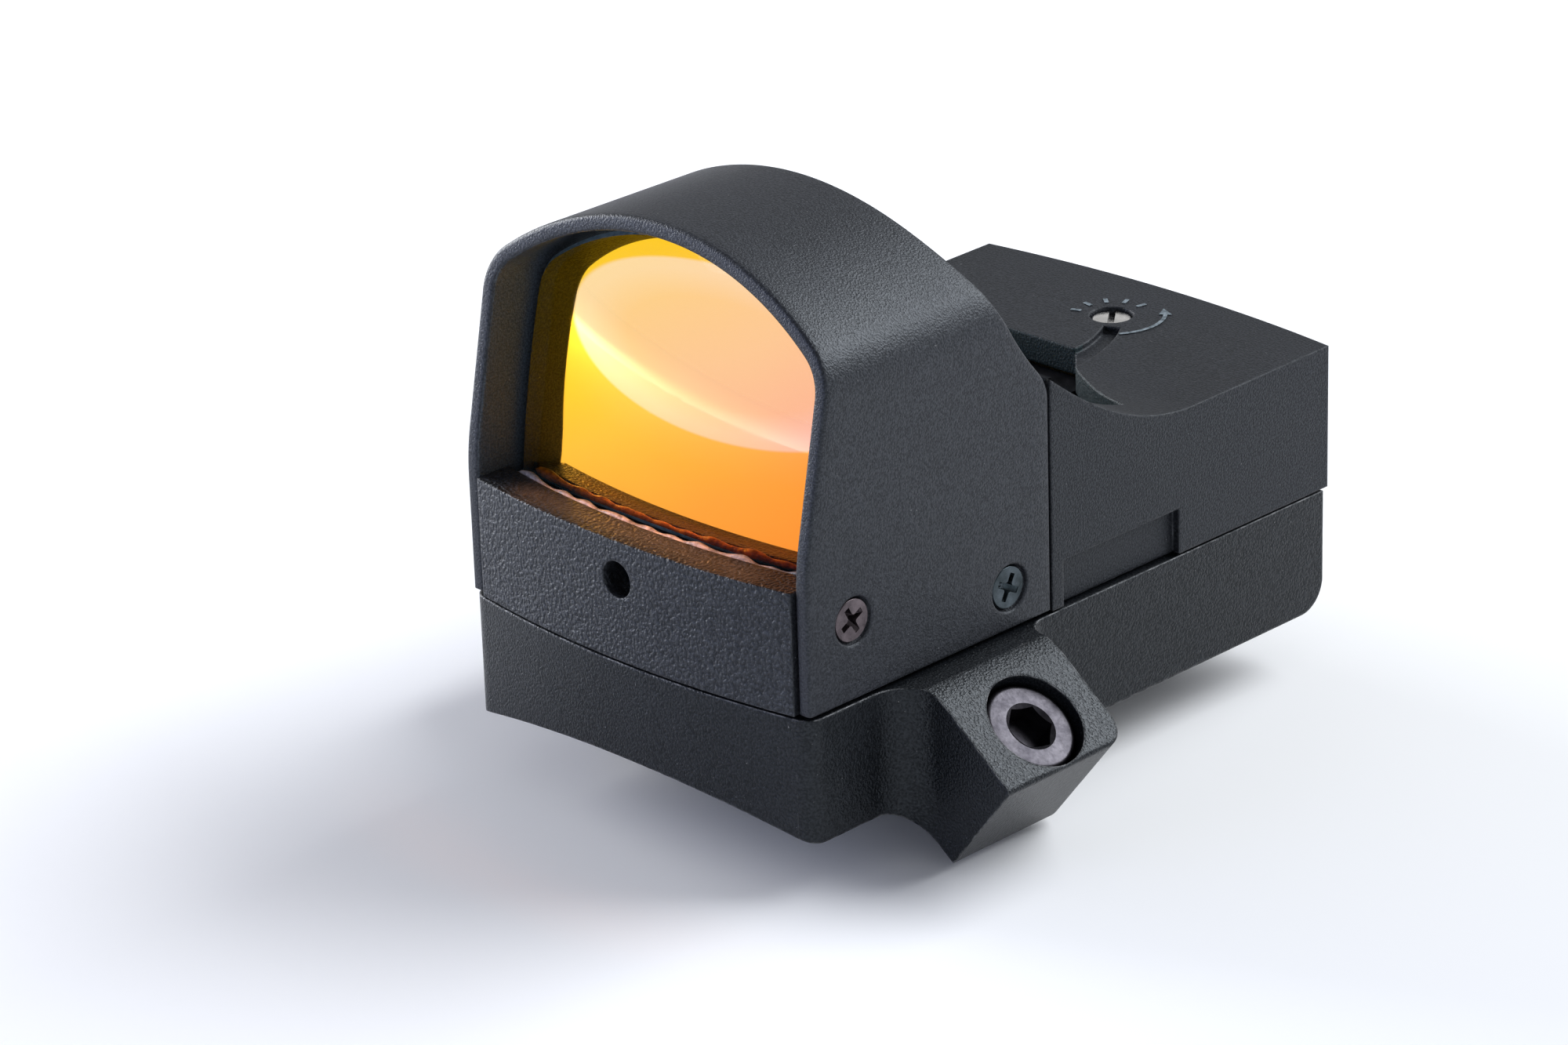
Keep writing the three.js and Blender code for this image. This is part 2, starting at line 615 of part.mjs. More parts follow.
function clipGeometry(thickness, radius) {
  const shape = new THREE.Shape().absarc(0, 0, radius, 0, Math.PI * 2, false);
  const ring = prismZ(shape, -thickness / 2, thickness / 2, 20);
  return cut(ring, rodZ(0, 0, 0.72, -1, 1, smallSegments), box([-0.6, 0.6], [0, 3], [-1, 1]));
}

// Elevation: the screw turns in the deck and lifts or lowers a block in the guideway.
const elevationGroup = new THREE.Group();
elevationGroup.position.set(elevationX, elevationY, deckZ - elevationRecess);
finder.add(elevationGroup);
const elevationClipZ = -1.72;
add('elevation_screw', adjusterGeometry(0, elevationClipZ, 4.2), 'brightSteel', elevationGroup);
add('elevation_clip', clipGeometry(0.28, 1.9), 'steel', elevationGroup).position.z = elevationClipZ;

const blockZ = [4.75, 6.65];
const springSeatZ = 5.4;
const springRadius = 1.45;
const tongue = { half: 2.1, frontY: 32.9, z: [5.4, 6.0] };

add('elevation_block', cut(
  join(
    box([-carrierHalf + fit, carrierHalf - fit], [guideFrontY + 0.35, guideRearY - fit], blockZ),
    box([-tongue.half, tongue.half], [tongue.frontY, guideFrontY + 0.6], tongue.z),
  ),
  rodZ(elevationX, elevationY, adjusterShank + 0.12, 4, 8),
  rodZ(elevationX, elevationY, springRadius + 0.7, springSeatZ, 8),
), 'brass');

// Compression spring that takes up the elevation screw's backlash.
function coilGeometry(radius, wire, turns, height) {
  class Helix extends THREE.Curve {
    getPoint(t, target = new THREE.Vector3()) {
      const angle = t * turns * Math.PI * 2;
      return target.set(radius * Math.cos(angle), radius * Math.sin(angle), t * height);
    }
  }
  const section = new THREE.Shape().absarc(0, 0, wire / 2, 0, Math.PI * 2, false);
  return new THREE.ExtrudeGeometry(section, {
    steps: Math.round(turns * 12), curveSegments: 3, bevelEnabled: false, extrudePath: new Helix(),
  });
}

add('elevation_spring', coilGeometry(springRadius, 0.2, 2.75, 1.0), 'brightSteel')
  .position.set(elevationX, elevationY, springSeatZ + 0.16);

// Windage: the screw turns in the left wall and draws a nut along X. The nut's forked end holds
// the T of the emitter block, which slides on the elevation block's tongue.
const windageGroup = new THREE.Group();
windageGroup.position.set(-halfWidth, windageY, windageZ);
windageGroup.rotation.y = -Math.PI / 2;
finder.add(windageGroup);
const windageClipZ = -2.85;
add('windage_screw', adjusterGeometry(-0.1, windageClipZ, 6.8), 'brightSteel', windageGroup);
add('windage_clip', clipGeometry(0.28, 1.35), 'steel', windageGroup).position.z = windageClipZ;

const nutX = [-9.4, -4.3];
const nutY = [30.7, 33.7];
const nutZ = [4.5, 7.0];
const teeX = [-5.45, -4.75];
const teeZ = [5.05, 6.45];

add('windage_nut', cut(
  box(nutX, nutY, nutZ),
  rodX(windageY, windageZ, adjusterShank + 0.12, -10, -6.2),
  box([teeX[0] - fit, teeX[1] + fit], [31.1, 33.3], [4, 8]),
  box([teeX[0], nutX[1] + 1], [31.65, 32.75], [4, 8]),
), 'brass');

const emitterX = [-3.3, 3.3];
const emitterY = [30.2, 34.3];
const emitterZ = [4.72, 6.68];
const ledPlace = [0, 30.75, 6.0];
const ledRadius = 0.72;
const ledPitch = THREE.MathUtils.degToRad(16);

function emitterBlockGeometry() {
  const body = join(
    box(emitterX, emitterY, emitterZ),
    box([-1.6, 1.6], [emitterY[0], 32.4], [emitterZ[0], 7.15]),
    box([teeX[1] - 0.1, emitterX[0] + 0.1], [31.8, 32.6], teeZ),
    box(teeX, [31.3, 33.1], teeZ),
  );
  const groove = [tongue.z[0] - fit, tongue.z[1] + fit];
  const socket = rodZ(0, 0, ledRadius + 0.08, -1.5, 3, smallSegments)
    .rotateX(Math.PI / 2 - ledPitch).translate(...ledPlace);
  return cut(body, box([-5, 5], [tongue.frontY - 0.2, 36], groove), socket);
}

add('emitter_block', emitterBlockGeometry(), 'blackPlastic');

const emitter = add('emitter_led', turned([[0, -1.4], [ledRadius, -1.4], [ledRadius, -0.15], [0.6, 0.1],
  [0.35, 0.25], [0, 0.3]], smallSegments), 'clearPlastic');
emitter.rotation.x = Math.PI / 2 - ledPitch;
emitter.position.set(...ledPlace);

export default finder;
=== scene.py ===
"""Open reflex red dot finder: finished meshes, materials, studio light and camera."""

import math
import random

import bmesh
import bpy
import numpy as np
from mathutils import Matrix, Vector


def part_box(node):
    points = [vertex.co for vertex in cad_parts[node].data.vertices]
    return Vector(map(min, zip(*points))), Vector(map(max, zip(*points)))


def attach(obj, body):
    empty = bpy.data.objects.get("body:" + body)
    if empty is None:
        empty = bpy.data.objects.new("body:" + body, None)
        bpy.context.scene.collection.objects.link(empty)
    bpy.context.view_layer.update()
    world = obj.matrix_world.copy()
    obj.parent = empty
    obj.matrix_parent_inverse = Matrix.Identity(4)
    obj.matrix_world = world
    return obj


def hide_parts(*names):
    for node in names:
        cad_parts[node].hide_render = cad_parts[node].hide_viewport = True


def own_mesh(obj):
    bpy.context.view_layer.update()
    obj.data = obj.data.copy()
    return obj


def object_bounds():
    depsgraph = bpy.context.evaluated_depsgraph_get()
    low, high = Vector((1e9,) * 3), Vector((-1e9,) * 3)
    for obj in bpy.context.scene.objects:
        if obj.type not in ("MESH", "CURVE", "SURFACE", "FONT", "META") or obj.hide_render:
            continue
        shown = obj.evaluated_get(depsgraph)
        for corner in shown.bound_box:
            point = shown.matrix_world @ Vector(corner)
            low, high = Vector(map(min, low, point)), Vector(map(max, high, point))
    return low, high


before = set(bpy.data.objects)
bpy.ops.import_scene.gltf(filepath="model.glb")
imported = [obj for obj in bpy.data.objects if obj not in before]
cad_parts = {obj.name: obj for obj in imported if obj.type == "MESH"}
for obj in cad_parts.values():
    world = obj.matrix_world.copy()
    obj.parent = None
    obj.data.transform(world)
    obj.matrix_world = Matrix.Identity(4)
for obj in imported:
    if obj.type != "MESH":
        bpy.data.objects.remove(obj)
cad_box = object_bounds()

# -------- frame and driving dimensions

# Pieces are drawn in millimetres about the point below the hood's front edge on the joint plane
# between housing and saddle, as the CAD model is, and then moved into the row frame.
MM = 0.001
LAYOUT = Matrix.Translation((0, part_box("hood")[0].y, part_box("housing")[0].z)) @ Matrix.Scale(MM, 4)


def layout_box(node):
    """A CAD node's box in layout millimetres."""
    inverse = LAYOUT.inverted()
    return tuple(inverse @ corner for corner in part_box(node))


HALF = layout_box("hood")[1].x               # half the width of hood, housing and saddle
HOOD_TOP = layout_box("hood")[1].z
HOOD_BOTTOM = layout_box("hood")[0].z - 0.15
HOOD_REAR = layout_box("hood")[1].y
HOOD_WALL = 0.9
HOOD_CORNER = 3.4
HOOD_ARCH = 20.6
CROWN_REAR = 14.0
RAKE_START = 8.6
RAKE = 0.2
LIP = 0.22                                   # rounding of the hood's sheet edges

FRONT_BOW = -layout_box("housing")[0].y
REAR_BOW = 1.0
REAR_CORNER = layout_box("housing")[1].y - REAR_BOW
SEAM = HOOD_REAR + 0.1
FRONT_WALL_TOP = 7.2
FLOOR = 4.3
DECK = 8.75
DECK_THICK = 1.6
CHEEK_TOP = layout_box("housing")[1].z
CORE_HALF = HALF - HOOD_WALL - 0.15

LENS_TILT = math.radians(10.9)
LENS_FOOT = (1.5, 6.95)                      # Y and Z of the front face's lower middle
LENS_RADIUS = 62                             # outer faces
LENS_INNER_RADIUS = 250                      # face between the elements
LENS_AXIS = 6.2
LENS_HALF = HALF - HOOD_WALL - 0.3
LENS_HEIGHT = 16.45
FRONT_ELEMENT = 2.2                          # thickness on the optical axis
LENS_THICK = 3.6
ELEMENT_GAP = 0.1

SADDLE_CREST = -5.95
SADDLE_EDGE = layout_box("housing")[0].z - 7.55
SADDLE_REAR = 43.0
EAR_TILT = math.radians(38)
EAR_Y = (7.35, 16.9)
EAR_FILLET = (2.4, 1.7)
EAR_CORNER = (21.26, -4.55)
CLAMP = (18.78, sum(EAR_Y) / 2)
COUNTERBORE = 2.98
COUNTERBORE_DEPTH = 3.9

HOOD_SCREWS = ((3.55, 4.7), (15.9, 2.55))
HOOD_SCREW_RADIUS = 1.28
ELEVATION = (0.4, 39.1)
ELEVATION_RECESS = 0.1
WINDAGE = (32.2, 5.75)
ADJUSTER_HEAD = 1.2
BATTERY_Y = 31.2
SPRING_WIRE = 0.1                            # radius of the round wire
SPRING_TURNS = 2.75

EDGE_SOFTNESS = 0.25                         # radius over which a finish softens every edge
BEVEL_ANGLE = 32                             # edges sharper than this many degrees are rounded


# -------- meshes

def arc(cx, cy, radius, start, end, steps):
    """Points on an arc, angles in degrees."""
    angles = np.radians(np.linspace(start, end, steps + 1))
    return [(cx + radius * math.cos(a), cy + radius * math.sin(a)) for a in angles]


def quadratic(a, b, c, steps):
    """Points on a quadratic curve from a to c with control point b."""
    points = []
    for t in np.linspace(0, 1, steps + 1):
        points.append(tuple(
            (1 - t) ** 2 * a[i] + 2 * t * (1 - t) * b[i] + t ** 2 * c[i] for i in (0, 1)))
    return points


def cubic(a, b, c, d, steps):
    """Points on a cubic curve from a to d with control points b and c."""
    points = []
    for t in np.linspace(0, 1, steps + 1):
        s = 1 - t
        points.append(tuple(
            s ** 3 * a[i] + 3 * s * s * t * b[i] + 3 * s * t * t * c[i] + t ** 3 * d[i]
            for i in (0, 1)))
    return points


def without_repeats(points):
    """The outline without points that fall on the one before, or the last on the first."""
    kept = [p for i, p in enumerate(points) if i == 0 or math.dist(p, points[i - 1]) > 1e-4]
    if math.dist(kept[0], kept[-1]) < 1e-4:
        kept.pop()
    return kept


def new_object(name, bm):
    """Object of a finished bmesh, its faces turned outwards."""
    bmesh.ops.recalc_face_normals(bm, faces=bm.faces)
    mesh = bpy.data.meshes.new(name)
    bm.to_mesh(mesh)
    bm.free()
    obj = bpy.data.objects.new(name, mesh)
    bpy.context.scene.collection.objects.link(obj)
    return obj


def tube(name, rings):
    """Closed sections of equally many points joined in turn, with a cap at either end."""
    bm = bmesh.new()
    rings = [[bm.verts.new(point) for point in ring] for ring in rings]
    for first, second in zip(rings, rings[1:]):
        for i in range(len(first)):
            j = (i + 1) % len(first)
            bm.faces.new((first[i], first[j], second[j], second[i]))
    bm.faces.new(rings[0])
    bm.faces.new(list(reversed(rings[-1])))
    return new_object(name, bm)


PLANES = {
    "x": lambda u, v, w: (w, u, v),          # outline in Y, Z
    "y": lambda u, v, w: (u, w, v),          # outline in X, Z
    "z": lambda u, v, w: (u, v, w),          # outline in X, Y
}


def prism(axis, outline, low, high, name="tool"):
    """An outline drawn across an axis, pushed along it from low to high."""
    place = PLANES[axis]
    points = without_repeats(outline)
    return tube(name, [[place(u, v, w) for u, v in points] for w in (low, high)])


def box(x, y, z):
    return prism("z", [(x[0], y[0]), (x[1], y[0]), (x[1], y[1]), (x[0], y[1])], *z)


def lathe(profile, segments):
    """Turns (radius, height) pairs about Z. A radius of 0 closes the piece at its axis."""
    bm = bmesh.new()
    rings = []
    for radius, height in profile:
        if radius == 0:
            rings.append([bm.verts.new((0, 0, height))])
            continue
        rings.append([bm.verts.new((radius * math.cos(a), radius * math.sin(a), height))
                      for a in np.linspace(0, 2 * math.pi, segments, endpoint=False)])
    for lower, upper in zip(rings, rings[1:]):
        for i in range(segments):
            j = (i + 1) % segments
            if len(lower) == 1:
                bm.faces.new((lower[0], upper[j], upper[i]))
            elif len(upper) == 1:
                bm.faces.new((lower[i], lower[j], upper[0]))
            else:
                bm.faces.new((lower[i], lower[j], upper[j], upper[i]))
    return new_object("lathe", bm)


def transformed(obj, matrix):
    obj.data.transform(matrix)
    return obj


def rod(axis, u, v, radius, low, high, segments=48):
    """Cylinder along an axis; u and v place it on the two others, in the order X, Y, Z."""
    obj = lathe([(0, low), (radius, low), (radius, high), (0, high)], segments)
    if axis == "z":
        return transformed(obj, Matrix.Translation((u, v, 0)))
    if axis == "x":
        turn = Matrix.Rotation(math.pi / 2, 4, "Y")
        return transformed(obj, Matrix.Translation((0, u, v)) @ turn)
    turn = Matrix.Rotation(-math.pi / 2, 4, "X")
    return transformed(obj, Matrix.Translation((u, 0, v)) @ turn)


def apply_modifiers(obj):
    """Puts the modifiers' result in place of the mesh."""
    bpy.context.view_layer.update()
    evaluated = obj.evaluated_get(bpy.context.evaluated_depsgraph_get())
    mesh = bpy.data.meshes.new_from_object(evaluated)
    old = obj.data
    obj.modifiers.clear()
    obj.data = mesh
    bpy.data.meshes.remove(old)
    return obj


def combine(obj, operation, tools):
    """Boolean of obj with each tool in turn; the tools are used up."""
    for tool in tools:
        step = obj.modifiers.new("boolean", "BOOLEAN")
        step.operation = operation
        step.object = tool
        step.solver = "EXACT"
    apply_modifiers(obj)
    for tool in tools:
        bpy.data.objects.remove(tool)
    return obj


def rounded(obj, width, segments=3):
    """Rounds the edges sharper than BEVEL_ANGLE, as a cutter or a mould leaves them."""
    bm = bmesh.new()
    bm.from_mesh(obj.data)
    bmesh.ops.remove_doubles(bm, verts=bm.verts, dist=2e-3)
    bmesh.ops.dissolve_limit(bm, angle_limit=math.radians(0.6), verts=bm.verts, edges=bm.edges)
    bm.to_mesh(obj.data)
    bm.free()
    step = obj.modifiers.new("bevel", "BEVEL")
    step.width = width
    step.segments = segments
    step.limit_method = "ANGLE"
    step.angle_limit = math.radians(BEVEL_ANGLE)
    step.use_clamp_overlap = True
    return apply_modifiers(obj)


def finished(obj, name, material, body="sight", replaced=None, smooth=32):
    """Names a piece, moves it into the row frame, ties it to its body, gives it its material and hides
    the CAD node it replaces.

    Edges sharper than smooth degrees stay sharp. A material of None keeps the piece's own.
    """
    obj.name = name
    obj.data.transform(LAYOUT)
    obj.data.validate()
    for polygon in obj.data.polygons:
        polygon.use_smooth = True
    obj.data.set_sharp_from_angle(angle=math.radians(smooth))
    weigh = obj.modifiers.new("weighted normals", "WEIGHTED_NORMAL")
    weigh.keep_sharp = True
    apply_modifiers(obj)
    obj.data.name = name
    if material is not None:
        obj.data.materials.clear()
        obj.data.materials.append(material)
    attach(obj, body)
    if replaced:
        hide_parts(replaced)
    return obj


# -------- materials

MIX_A, MIX_B, MIX_RESULT = 6, 7, 2           # a colour Mix node's sockets share their names


def new_material(name):
    """A material and its emptied node tree."""
    material = bpy.data.materials.new(name)
    material.use_nodes = True
    material.node_tree.nodes.clear()
    return material, material.node_tree


def node(tree, kind, inputs=None, **settings):
    """New shader node; each input takes a value or is linked to another node's output."""
    made = tree.nodes.new("ShaderNode" + kind)
    for key, value in settings.items():
        setattr(made, key, value)
    for key, value in (inputs or {}).items():
        if isinstance(value, bpy.types.NodeSocket):
            tree.links.new(value, made.inputs[key])
        else:
            made.inputs[key].default_value = value
    return made


def object_noise(tree, size_mm, detail, roughness=0.5):
    """Noise in object space whose cells are about size_mm across."""
    place = node(tree, "TexCoord").outputs["Object"]
    return node(tree, "TexNoise", {
        "Vector": place, "Scale": 1 / (size_mm * MM), "Detail": detail,
        "Roughness": roughness}).outputs["Fac"]


def ramp(tree, source, stops):
    """Colour ramp over an output; stops are (place, colour) pairs."""
    made = node(tree, "ValToRGB", {"Fac": source})
    elements = made.color_ramp.elements
    while len(elements) < len(stops):
        elements.new(0.5)
    for element, (place, colour) in zip(elements, stops):
        element.position = place
        element.color = (*colour, 1)
    return made.outputs["Color"]


def map_range(tree, source, low, high, to_low=0.0, to_high=1.0):
    """low to high becomes to_low to to_high, and stays within them."""
    return node(tree, "MapRange", {
        "Value": source, "From Min": low, "From Max": high, "To Min": to_low,
        "To Max": to_high}).outputs[0]


def edge_mask(tree, radius_mm):
    """1 on convex and concave edges, 0 on faces."""
    soft = node(tree, "Bevel", {"Radius": radius_mm * MM}, samples=6).outputs["Normal"]
    plain = node(tree, "NewGeometry").outputs["True Normal"]
    dot = node(tree, "VectorMath", {0: soft, 1: plain}, operation="DOT_PRODUCT")
    return map_range(tree, dot.outputs["Value"], 0.995, 0.86)


def product(tree, a, b):
    """An output times a second one or a number."""
    return node(tree, "Math", {0: a, 1: b}, operation="MULTIPLY").outputs[0]


def mix(tree, factor, a, b, blend="MIX"):
    """Two colours or colour outputs mixed, multiplied or added."""
    return node(tree, "Mix", {"Factor": factor, MIX_A: a, MIX_B: b},
                data_type="RGBA", blend_type=blend).outputs[MIX_RESULT]


def bump(tree, height, depth_mm, strength, under=None):
    """Normals of a relief, laid on the normals under it where they are given."""
    inputs = {"Strength": strength, "Distance": depth_mm * MM, "Height": height}
    if under is not None:
        inputs["Normal"] = under
    return node(tree, "Bump", inputs).outputs["Normal"]


def principled(tree, inputs):
    """Makes one Principled shader the material's surface."""
    shader = node(tree, "BsdfPrincipled", inputs)
    node(tree, "OutputMaterial", {"Surface": shader.outputs[0]})


def part_mirror(tree, share, through, mirror):
    """Makes the surface mirror a share of the light and let the rest through."""
    film = node(tree, "MixShader", {0: share, 1: through.outputs[0], 2: mirror.outputs[0]})
    node(tree, "OutputMaterial", {"Surface": film.outputs[0]})


def coated_metal(name, dark, light, grain_mm, grain_depth, roughness, wear_and_highlight, wear_and_highlight_colour, dust,
                 specular=0.4):
    """Black finish on aluminium: fine grain, slow tone variation, worn edges that also carry a painted
    edge highlight, specks of dust.
    """
    material, tree = new_material(name)
    tone = object_noise(tree, 9, 2)
    grain = object_noise(tree, grain_mm, 1)
    base = ramp(tree, tone, [(0.3, dark), (0.7, light)])
    speck = ramp(tree, grain, [(0.35, (0.68,) * 3), (0.7, (1.4,) * 3)])
    colour = mix(tree, 1.0, base, speck, "MULTIPLY")
    patchy = map_range(tree, object_noise(tree, 0.8, 4, 0.7), 0.42, 0.62)
    # Lighter patches on the edges: partly wear, partly a painted edge highlight.
    worn_and_highlit = product(tree, product(tree, edge_mask(tree, 0.14), patchy), wear_and_highlight)
    colour = mix(tree, worn_and_highlit, colour, (*wear_and_highlight_colour, 1))
    flecks = map_range(tree, object_noise(tree, 0.15, 0), 0.85, 0.89)
    colour = mix(tree, product(tree, flecks, dust), colour, (0.5, 0.5, 0.5, 1))
    soft = node(tree, "Bevel", {"Radius": EDGE_SOFTNESS * MM}, samples=6).outputs["Normal"]
    principled(tree, {
        "Metallic": 0.0, "Specular Tint": (0.86, 0.93, 1.0, 1), "Base Color": colour,
        "Specular IOR Level": map_range(
            tree, grain, 0.35, 0.65, specular * 0.76, specular * 1.24),
        "Roughness": map_range(tree, tone, 0.25, 0.75, roughness - 0.05, roughness + 0.06),
        "Normal": bump(tree, grain, grain_depth, 1.0, soft)})
    return material


def turned_steel(name, dark, light, roughness, scratch_mm=0.25):
    """Machined metal with fine marks and a mottled oxide tone."""
    material, tree = new_material(name)
    marks = object_noise(tree, scratch_mm, 4, 0.7)
    principled(tree, {
        "Metallic": 1.0,
        "Base Color": ramp(tree, object_noise(tree, 1.1, 3, 0.6), [(0.32, dark), (0.68, light)]),
        "Roughness": map_range(tree, marks, 0.3, 0.7, roughness - 0.08, roughness + 0.12),
        "Normal": bump(tree, marks, 0.008, 0.5)})
    return material


def plastic(name, dark, light, roughness, size_mm=0.8, depth=0.01):
    """Moulded, painted or cast surface, mottled over size_mm."""
    material, tree = new_material(name)
    noise = object_noise(tree, size_mm, 4)
    principled(tree, {
        "Metallic": 0.0, "Base Color": ramp(tree, noise, [(0.35, dark), (0.65, light)]),
        "Roughness": map_range(tree, noise, 0.3, 0.7, roughness - 0.06, roughness + 0.08),
        "Normal": bump(tree, noise, depth, 0.6)})
    return material


def ground_edge(name, dark, light):
    """Ground, matt rim of a lens."""
    material, tree = new_material(name)
    noise = object_noise(tree, 0.5, 4, 0.7)
    principled(tree, {
        "Roughness": 0.35, "Base Color": ramp(tree, noise, [(0.35, dark), (0.7, light)]),
        "Normal": bump(tree, noise, 0.02, 0.6)})
    return material


def clear_glass(name, tint, mirror_tint):
    """Polished glass: lets most light through and mirrors more of it at a shallow angle."""
    material, tree = new_material(name)
    haze = map_range(tree, object_noise(tree, 3.5, 3), 0.35, 0.75, 0.01, 0.05)
    through = node(tree, "BsdfTransparent", {"Color": (*tint, 1)})
    mirror = node(tree, "BsdfGlossy", {"Color": (*mirror_tint, 1), "Roughness": haze})
    behind = node(tree, "NewGeometry").outputs["Backfacing"]
    outer = node(tree, "Math", {0: 1, 1: behind}, operation="SUBTRACT").outputs[0]
    fresnel = node(tree, "Fresnel", {"IOR": 1.5}).outputs[0]
    part_mirror(tree, product(tree, fresnel, outer), through, mirror)
    return material


def dichroic_coating(name):
    """Amber mirror coating: yellow at one upper corner, orange at the foot, peach at the far side.

    A fixed pale oval stands for a lamp's reflection. It doesn't move with the view.
    """
    material, tree = new_material(name)
    place = node(tree, "TexCoord").outputs["Generated"]
    split = node(tree, "SeparateXYZ", {0: place}).outputs
    across = node(tree, "Math", {0: split["Z"], 1: split["X"]}, operation="SUBTRACT").outputs[0]
    slope = node(tree, "Math", {0: across, 1: 0.5, 2: 0.46}, operation="MULTIPLY_ADD").outputs[0]
    uneven = node(tree, "Math", {0: object_noise(tree, 9, 2), 1: 0.08, 2: slope},
                  operation="MULTIPLY_ADD").outputs[0]
    amber = ramp(tree, uneven, [
        (0.0, (1.0, 0.26, 0.03)), (0.25, (1.0, 0.34, 0.04)), (0.5, (1.0, 0.46, 0.04)),
        (0.75, (1.0, 0.52, 0.006)), (1.0, (1.0, 0.58, 0.0))])
    oval = node(tree, "Mapping", {
        "Vector": place, "Location": (-0.65, 0, -1.2), "Scale": (1.0, 0.0, 1.786)})
    away = node(tree, "VectorMath", {0: oval.outputs["Vector"]}, operation="LENGTH")
    bloom = ramp(tree, away.outputs["Value"], [
        (0.3, (0.0, 0.06, 0.13)), (0.44, (0.0, 0.11, 0.2)), (0.49, (0.0, 0.11, 0.2)),
        (0.505, (0.0, 0.0, 0.012)), (0.7, (0.0, 0.0, 0.0))])
    mirror = node(tree, "BsdfGlossy", {
        "Color": mix(tree, 1.0, amber, bloom, "ADD"),
        "Roughness": map_range(tree, object_noise(tree, 3, 4), 0.3, 0.8, 0.02, 0.06)})
    through = node(tree, "BsdfTransparent", {"Color": (0.55, 0.8, 0.85, 1)})
    behind = node(tree, "NewGeometry").outputs["Backfacing"]
    part_mirror(tree, map_range(tree, behind, 0, 1, 0.96, 0.25), through, mirror)
    return material


HOUSING_BLACK = coated_metal(
    "housing black", (0.009, 0.010, 0.013), (0.013, 0.014, 0.018), grain_mm=0.13,
    grain_depth=0.048, roughness=0.5, wear_and_highlight=0.5, wear_and_highlight_colour=(0.12, 0.12, 0.13), dust=0.25,
    specular=0.35)
CAST_BLACK = coated_metal(
    "cast front black", (0.011, 0.012, 0.015), (0.016, 0.017, 0.021), grain_mm=0.22,
    grain_depth=0.15, roughness=0.48, wear_and_highlight=0.5, wear_and_highlight_colour=(0.12, 0.12, 0.13), dust=0.2)
# Well walls: the housing's black coating tinted teal, with teal edges, as painted light bounced from
# the green board.
WELL_PAINTED_TEAL_LIGHT = coated_metal(
    "well black, painted teal light", (0.002, 0.008, 0.010), (0.004, 0.014, 0.017), grain_mm=0.14,
    grain_depth=0.04, roughness=0.55, wear_and_highlight=0.5, wear_and_highlight_colour=(0.03, 0.1, 0.11), dust=0.1)
HOOD_BLACK = coated_metal(
    "hood black", (0.014, 0.015, 0.019), (0.019, 0.020, 0.025), grain_mm=0.12,
    grain_depth=0.042, roughness=0.45, wear_and_highlight=0.35, wear_and_highlight_colour=(0.1, 0.1, 0.11), dust=0.25)
# Saddle coating: base colour darker than the housing's as a painted shade, edges strongly lightened as
# a painted edge highlight.
SADDLE_BLACK_SHADE_AND_HIGHLIGHT = coated_metal(
    "saddle black with painted shade and edge highlight", (0.004, 0.005, 0.0065), (0.007, 0.008, 0.010), grain_mm=0.14,
    grain_depth=0.058, roughness=0.33, wear_and_highlight=0.9, wear_and_highlight_colour=(0.3, 0.3, 0.31), dust=0.3,
    specular=0.29)
# Hood's inside: the outside's black coating painted lighter and bluer, a painted bounce light.
HOOD_INSIDE_PAINTED_LIGHT = coated_metal(
    "hood inside black, painted bounce light", (0.034, 0.042, 0.054), (0.046, 0.056, 0.070), grain_mm=0.13,
    grain_depth=0.05, roughness=0.4, wear_and_highlight=0.4, wear_and_highlight_colour=(0.15, 0.15, 0.15), dust=0.35)
OXIDE_STEEL = turned_steel("darkened steel", (0.032, 0.03, 0.036), (0.068, 0.064, 0.073), 0.36)
SCREW_STEEL = turned_steel("cross screw steel", (0.06, 0.05, 0.055), (0.17, 0.14, 0.15), 0.3, 0.15)
BLUED_STEEL = turned_steel(
    "blued screw steel", (0.035, 0.045, 0.05), (0.09, 0.11, 0.125), 0.3, 0.15)
BRIGHT_STEEL = turned_steel("bright steel", (0.55, 0.54, 0.52), (0.82, 0.8, 0.78), 0.24, 0.2)
BRASS = turned_steel("brass", (0.55, 0.38, 0.16), (0.8, 0.6, 0.3), 0.3, 0.3)
BOARD_GREEN = plastic("board green", (0.006, 0.09, 0.07), (0.02, 0.16, 0.12), 0.3, 1.2)
CHIP_BLACK = plastic("chip black", (0.008, 0.008, 0.009), (0.02, 0.02, 0.022), 0.45, 0.2)
SOLDER = turned_steel("solder", (0.5, 0.5, 0.52), (0.8, 0.8, 0.82), 0.2, 0.3)
BLACK_PLASTIC = plastic("black plastic", (0.008, 0.008, 0.01), (0.02, 0.02, 0.024), 0.4, 0.5)
RUBBER = plastic("seal rubber", (0.008, 0.008, 0.008), (0.018, 0.018, 0.018), 0.75, 0.4)
SEALANT = plastic("sealant", (0.13, 0.11, 0.11), (0.36, 0.32, 0.33), 0.4, 0.35, 0.12)
MARKING = plastic("marking paint", (0.06, 0.08, 0.095), (0.2, 0.24, 0.27), 0.6, 0.3)
GLASS = clear_glass("lens glass", (0.93, 0.97, 1.0), (1.0, 1.0, 1.0))
REAR_GLASS = clear_glass("lens rear glass", (0.8, 0.9, 1.0), (0.8, 0.85, 1.0))
COATING = dichroic_coating("amber mirror coating")
GLASS_EDGE = ground_edge("front glass edge", (0.08, 0.14, 0.18), (0.26, 0.36, 0.44))
AMBER_EDGE = ground_edge("rear glass edge", (0.12, 0.05, 0.01), (0.4, 0.2, 0.03))
CLEAR_EPOXY = clear_glass("clear epoxy", (0.9, 0.95, 1.0), (1.0, 1.0, 1.0))
RED_EPOXY = plastic("red epoxy", (0.25, 0.01, 0.01), (0.4, 0.02, 0.02), 0.15, 0.8)


# -------- hood

CROWN_STEPS = 56


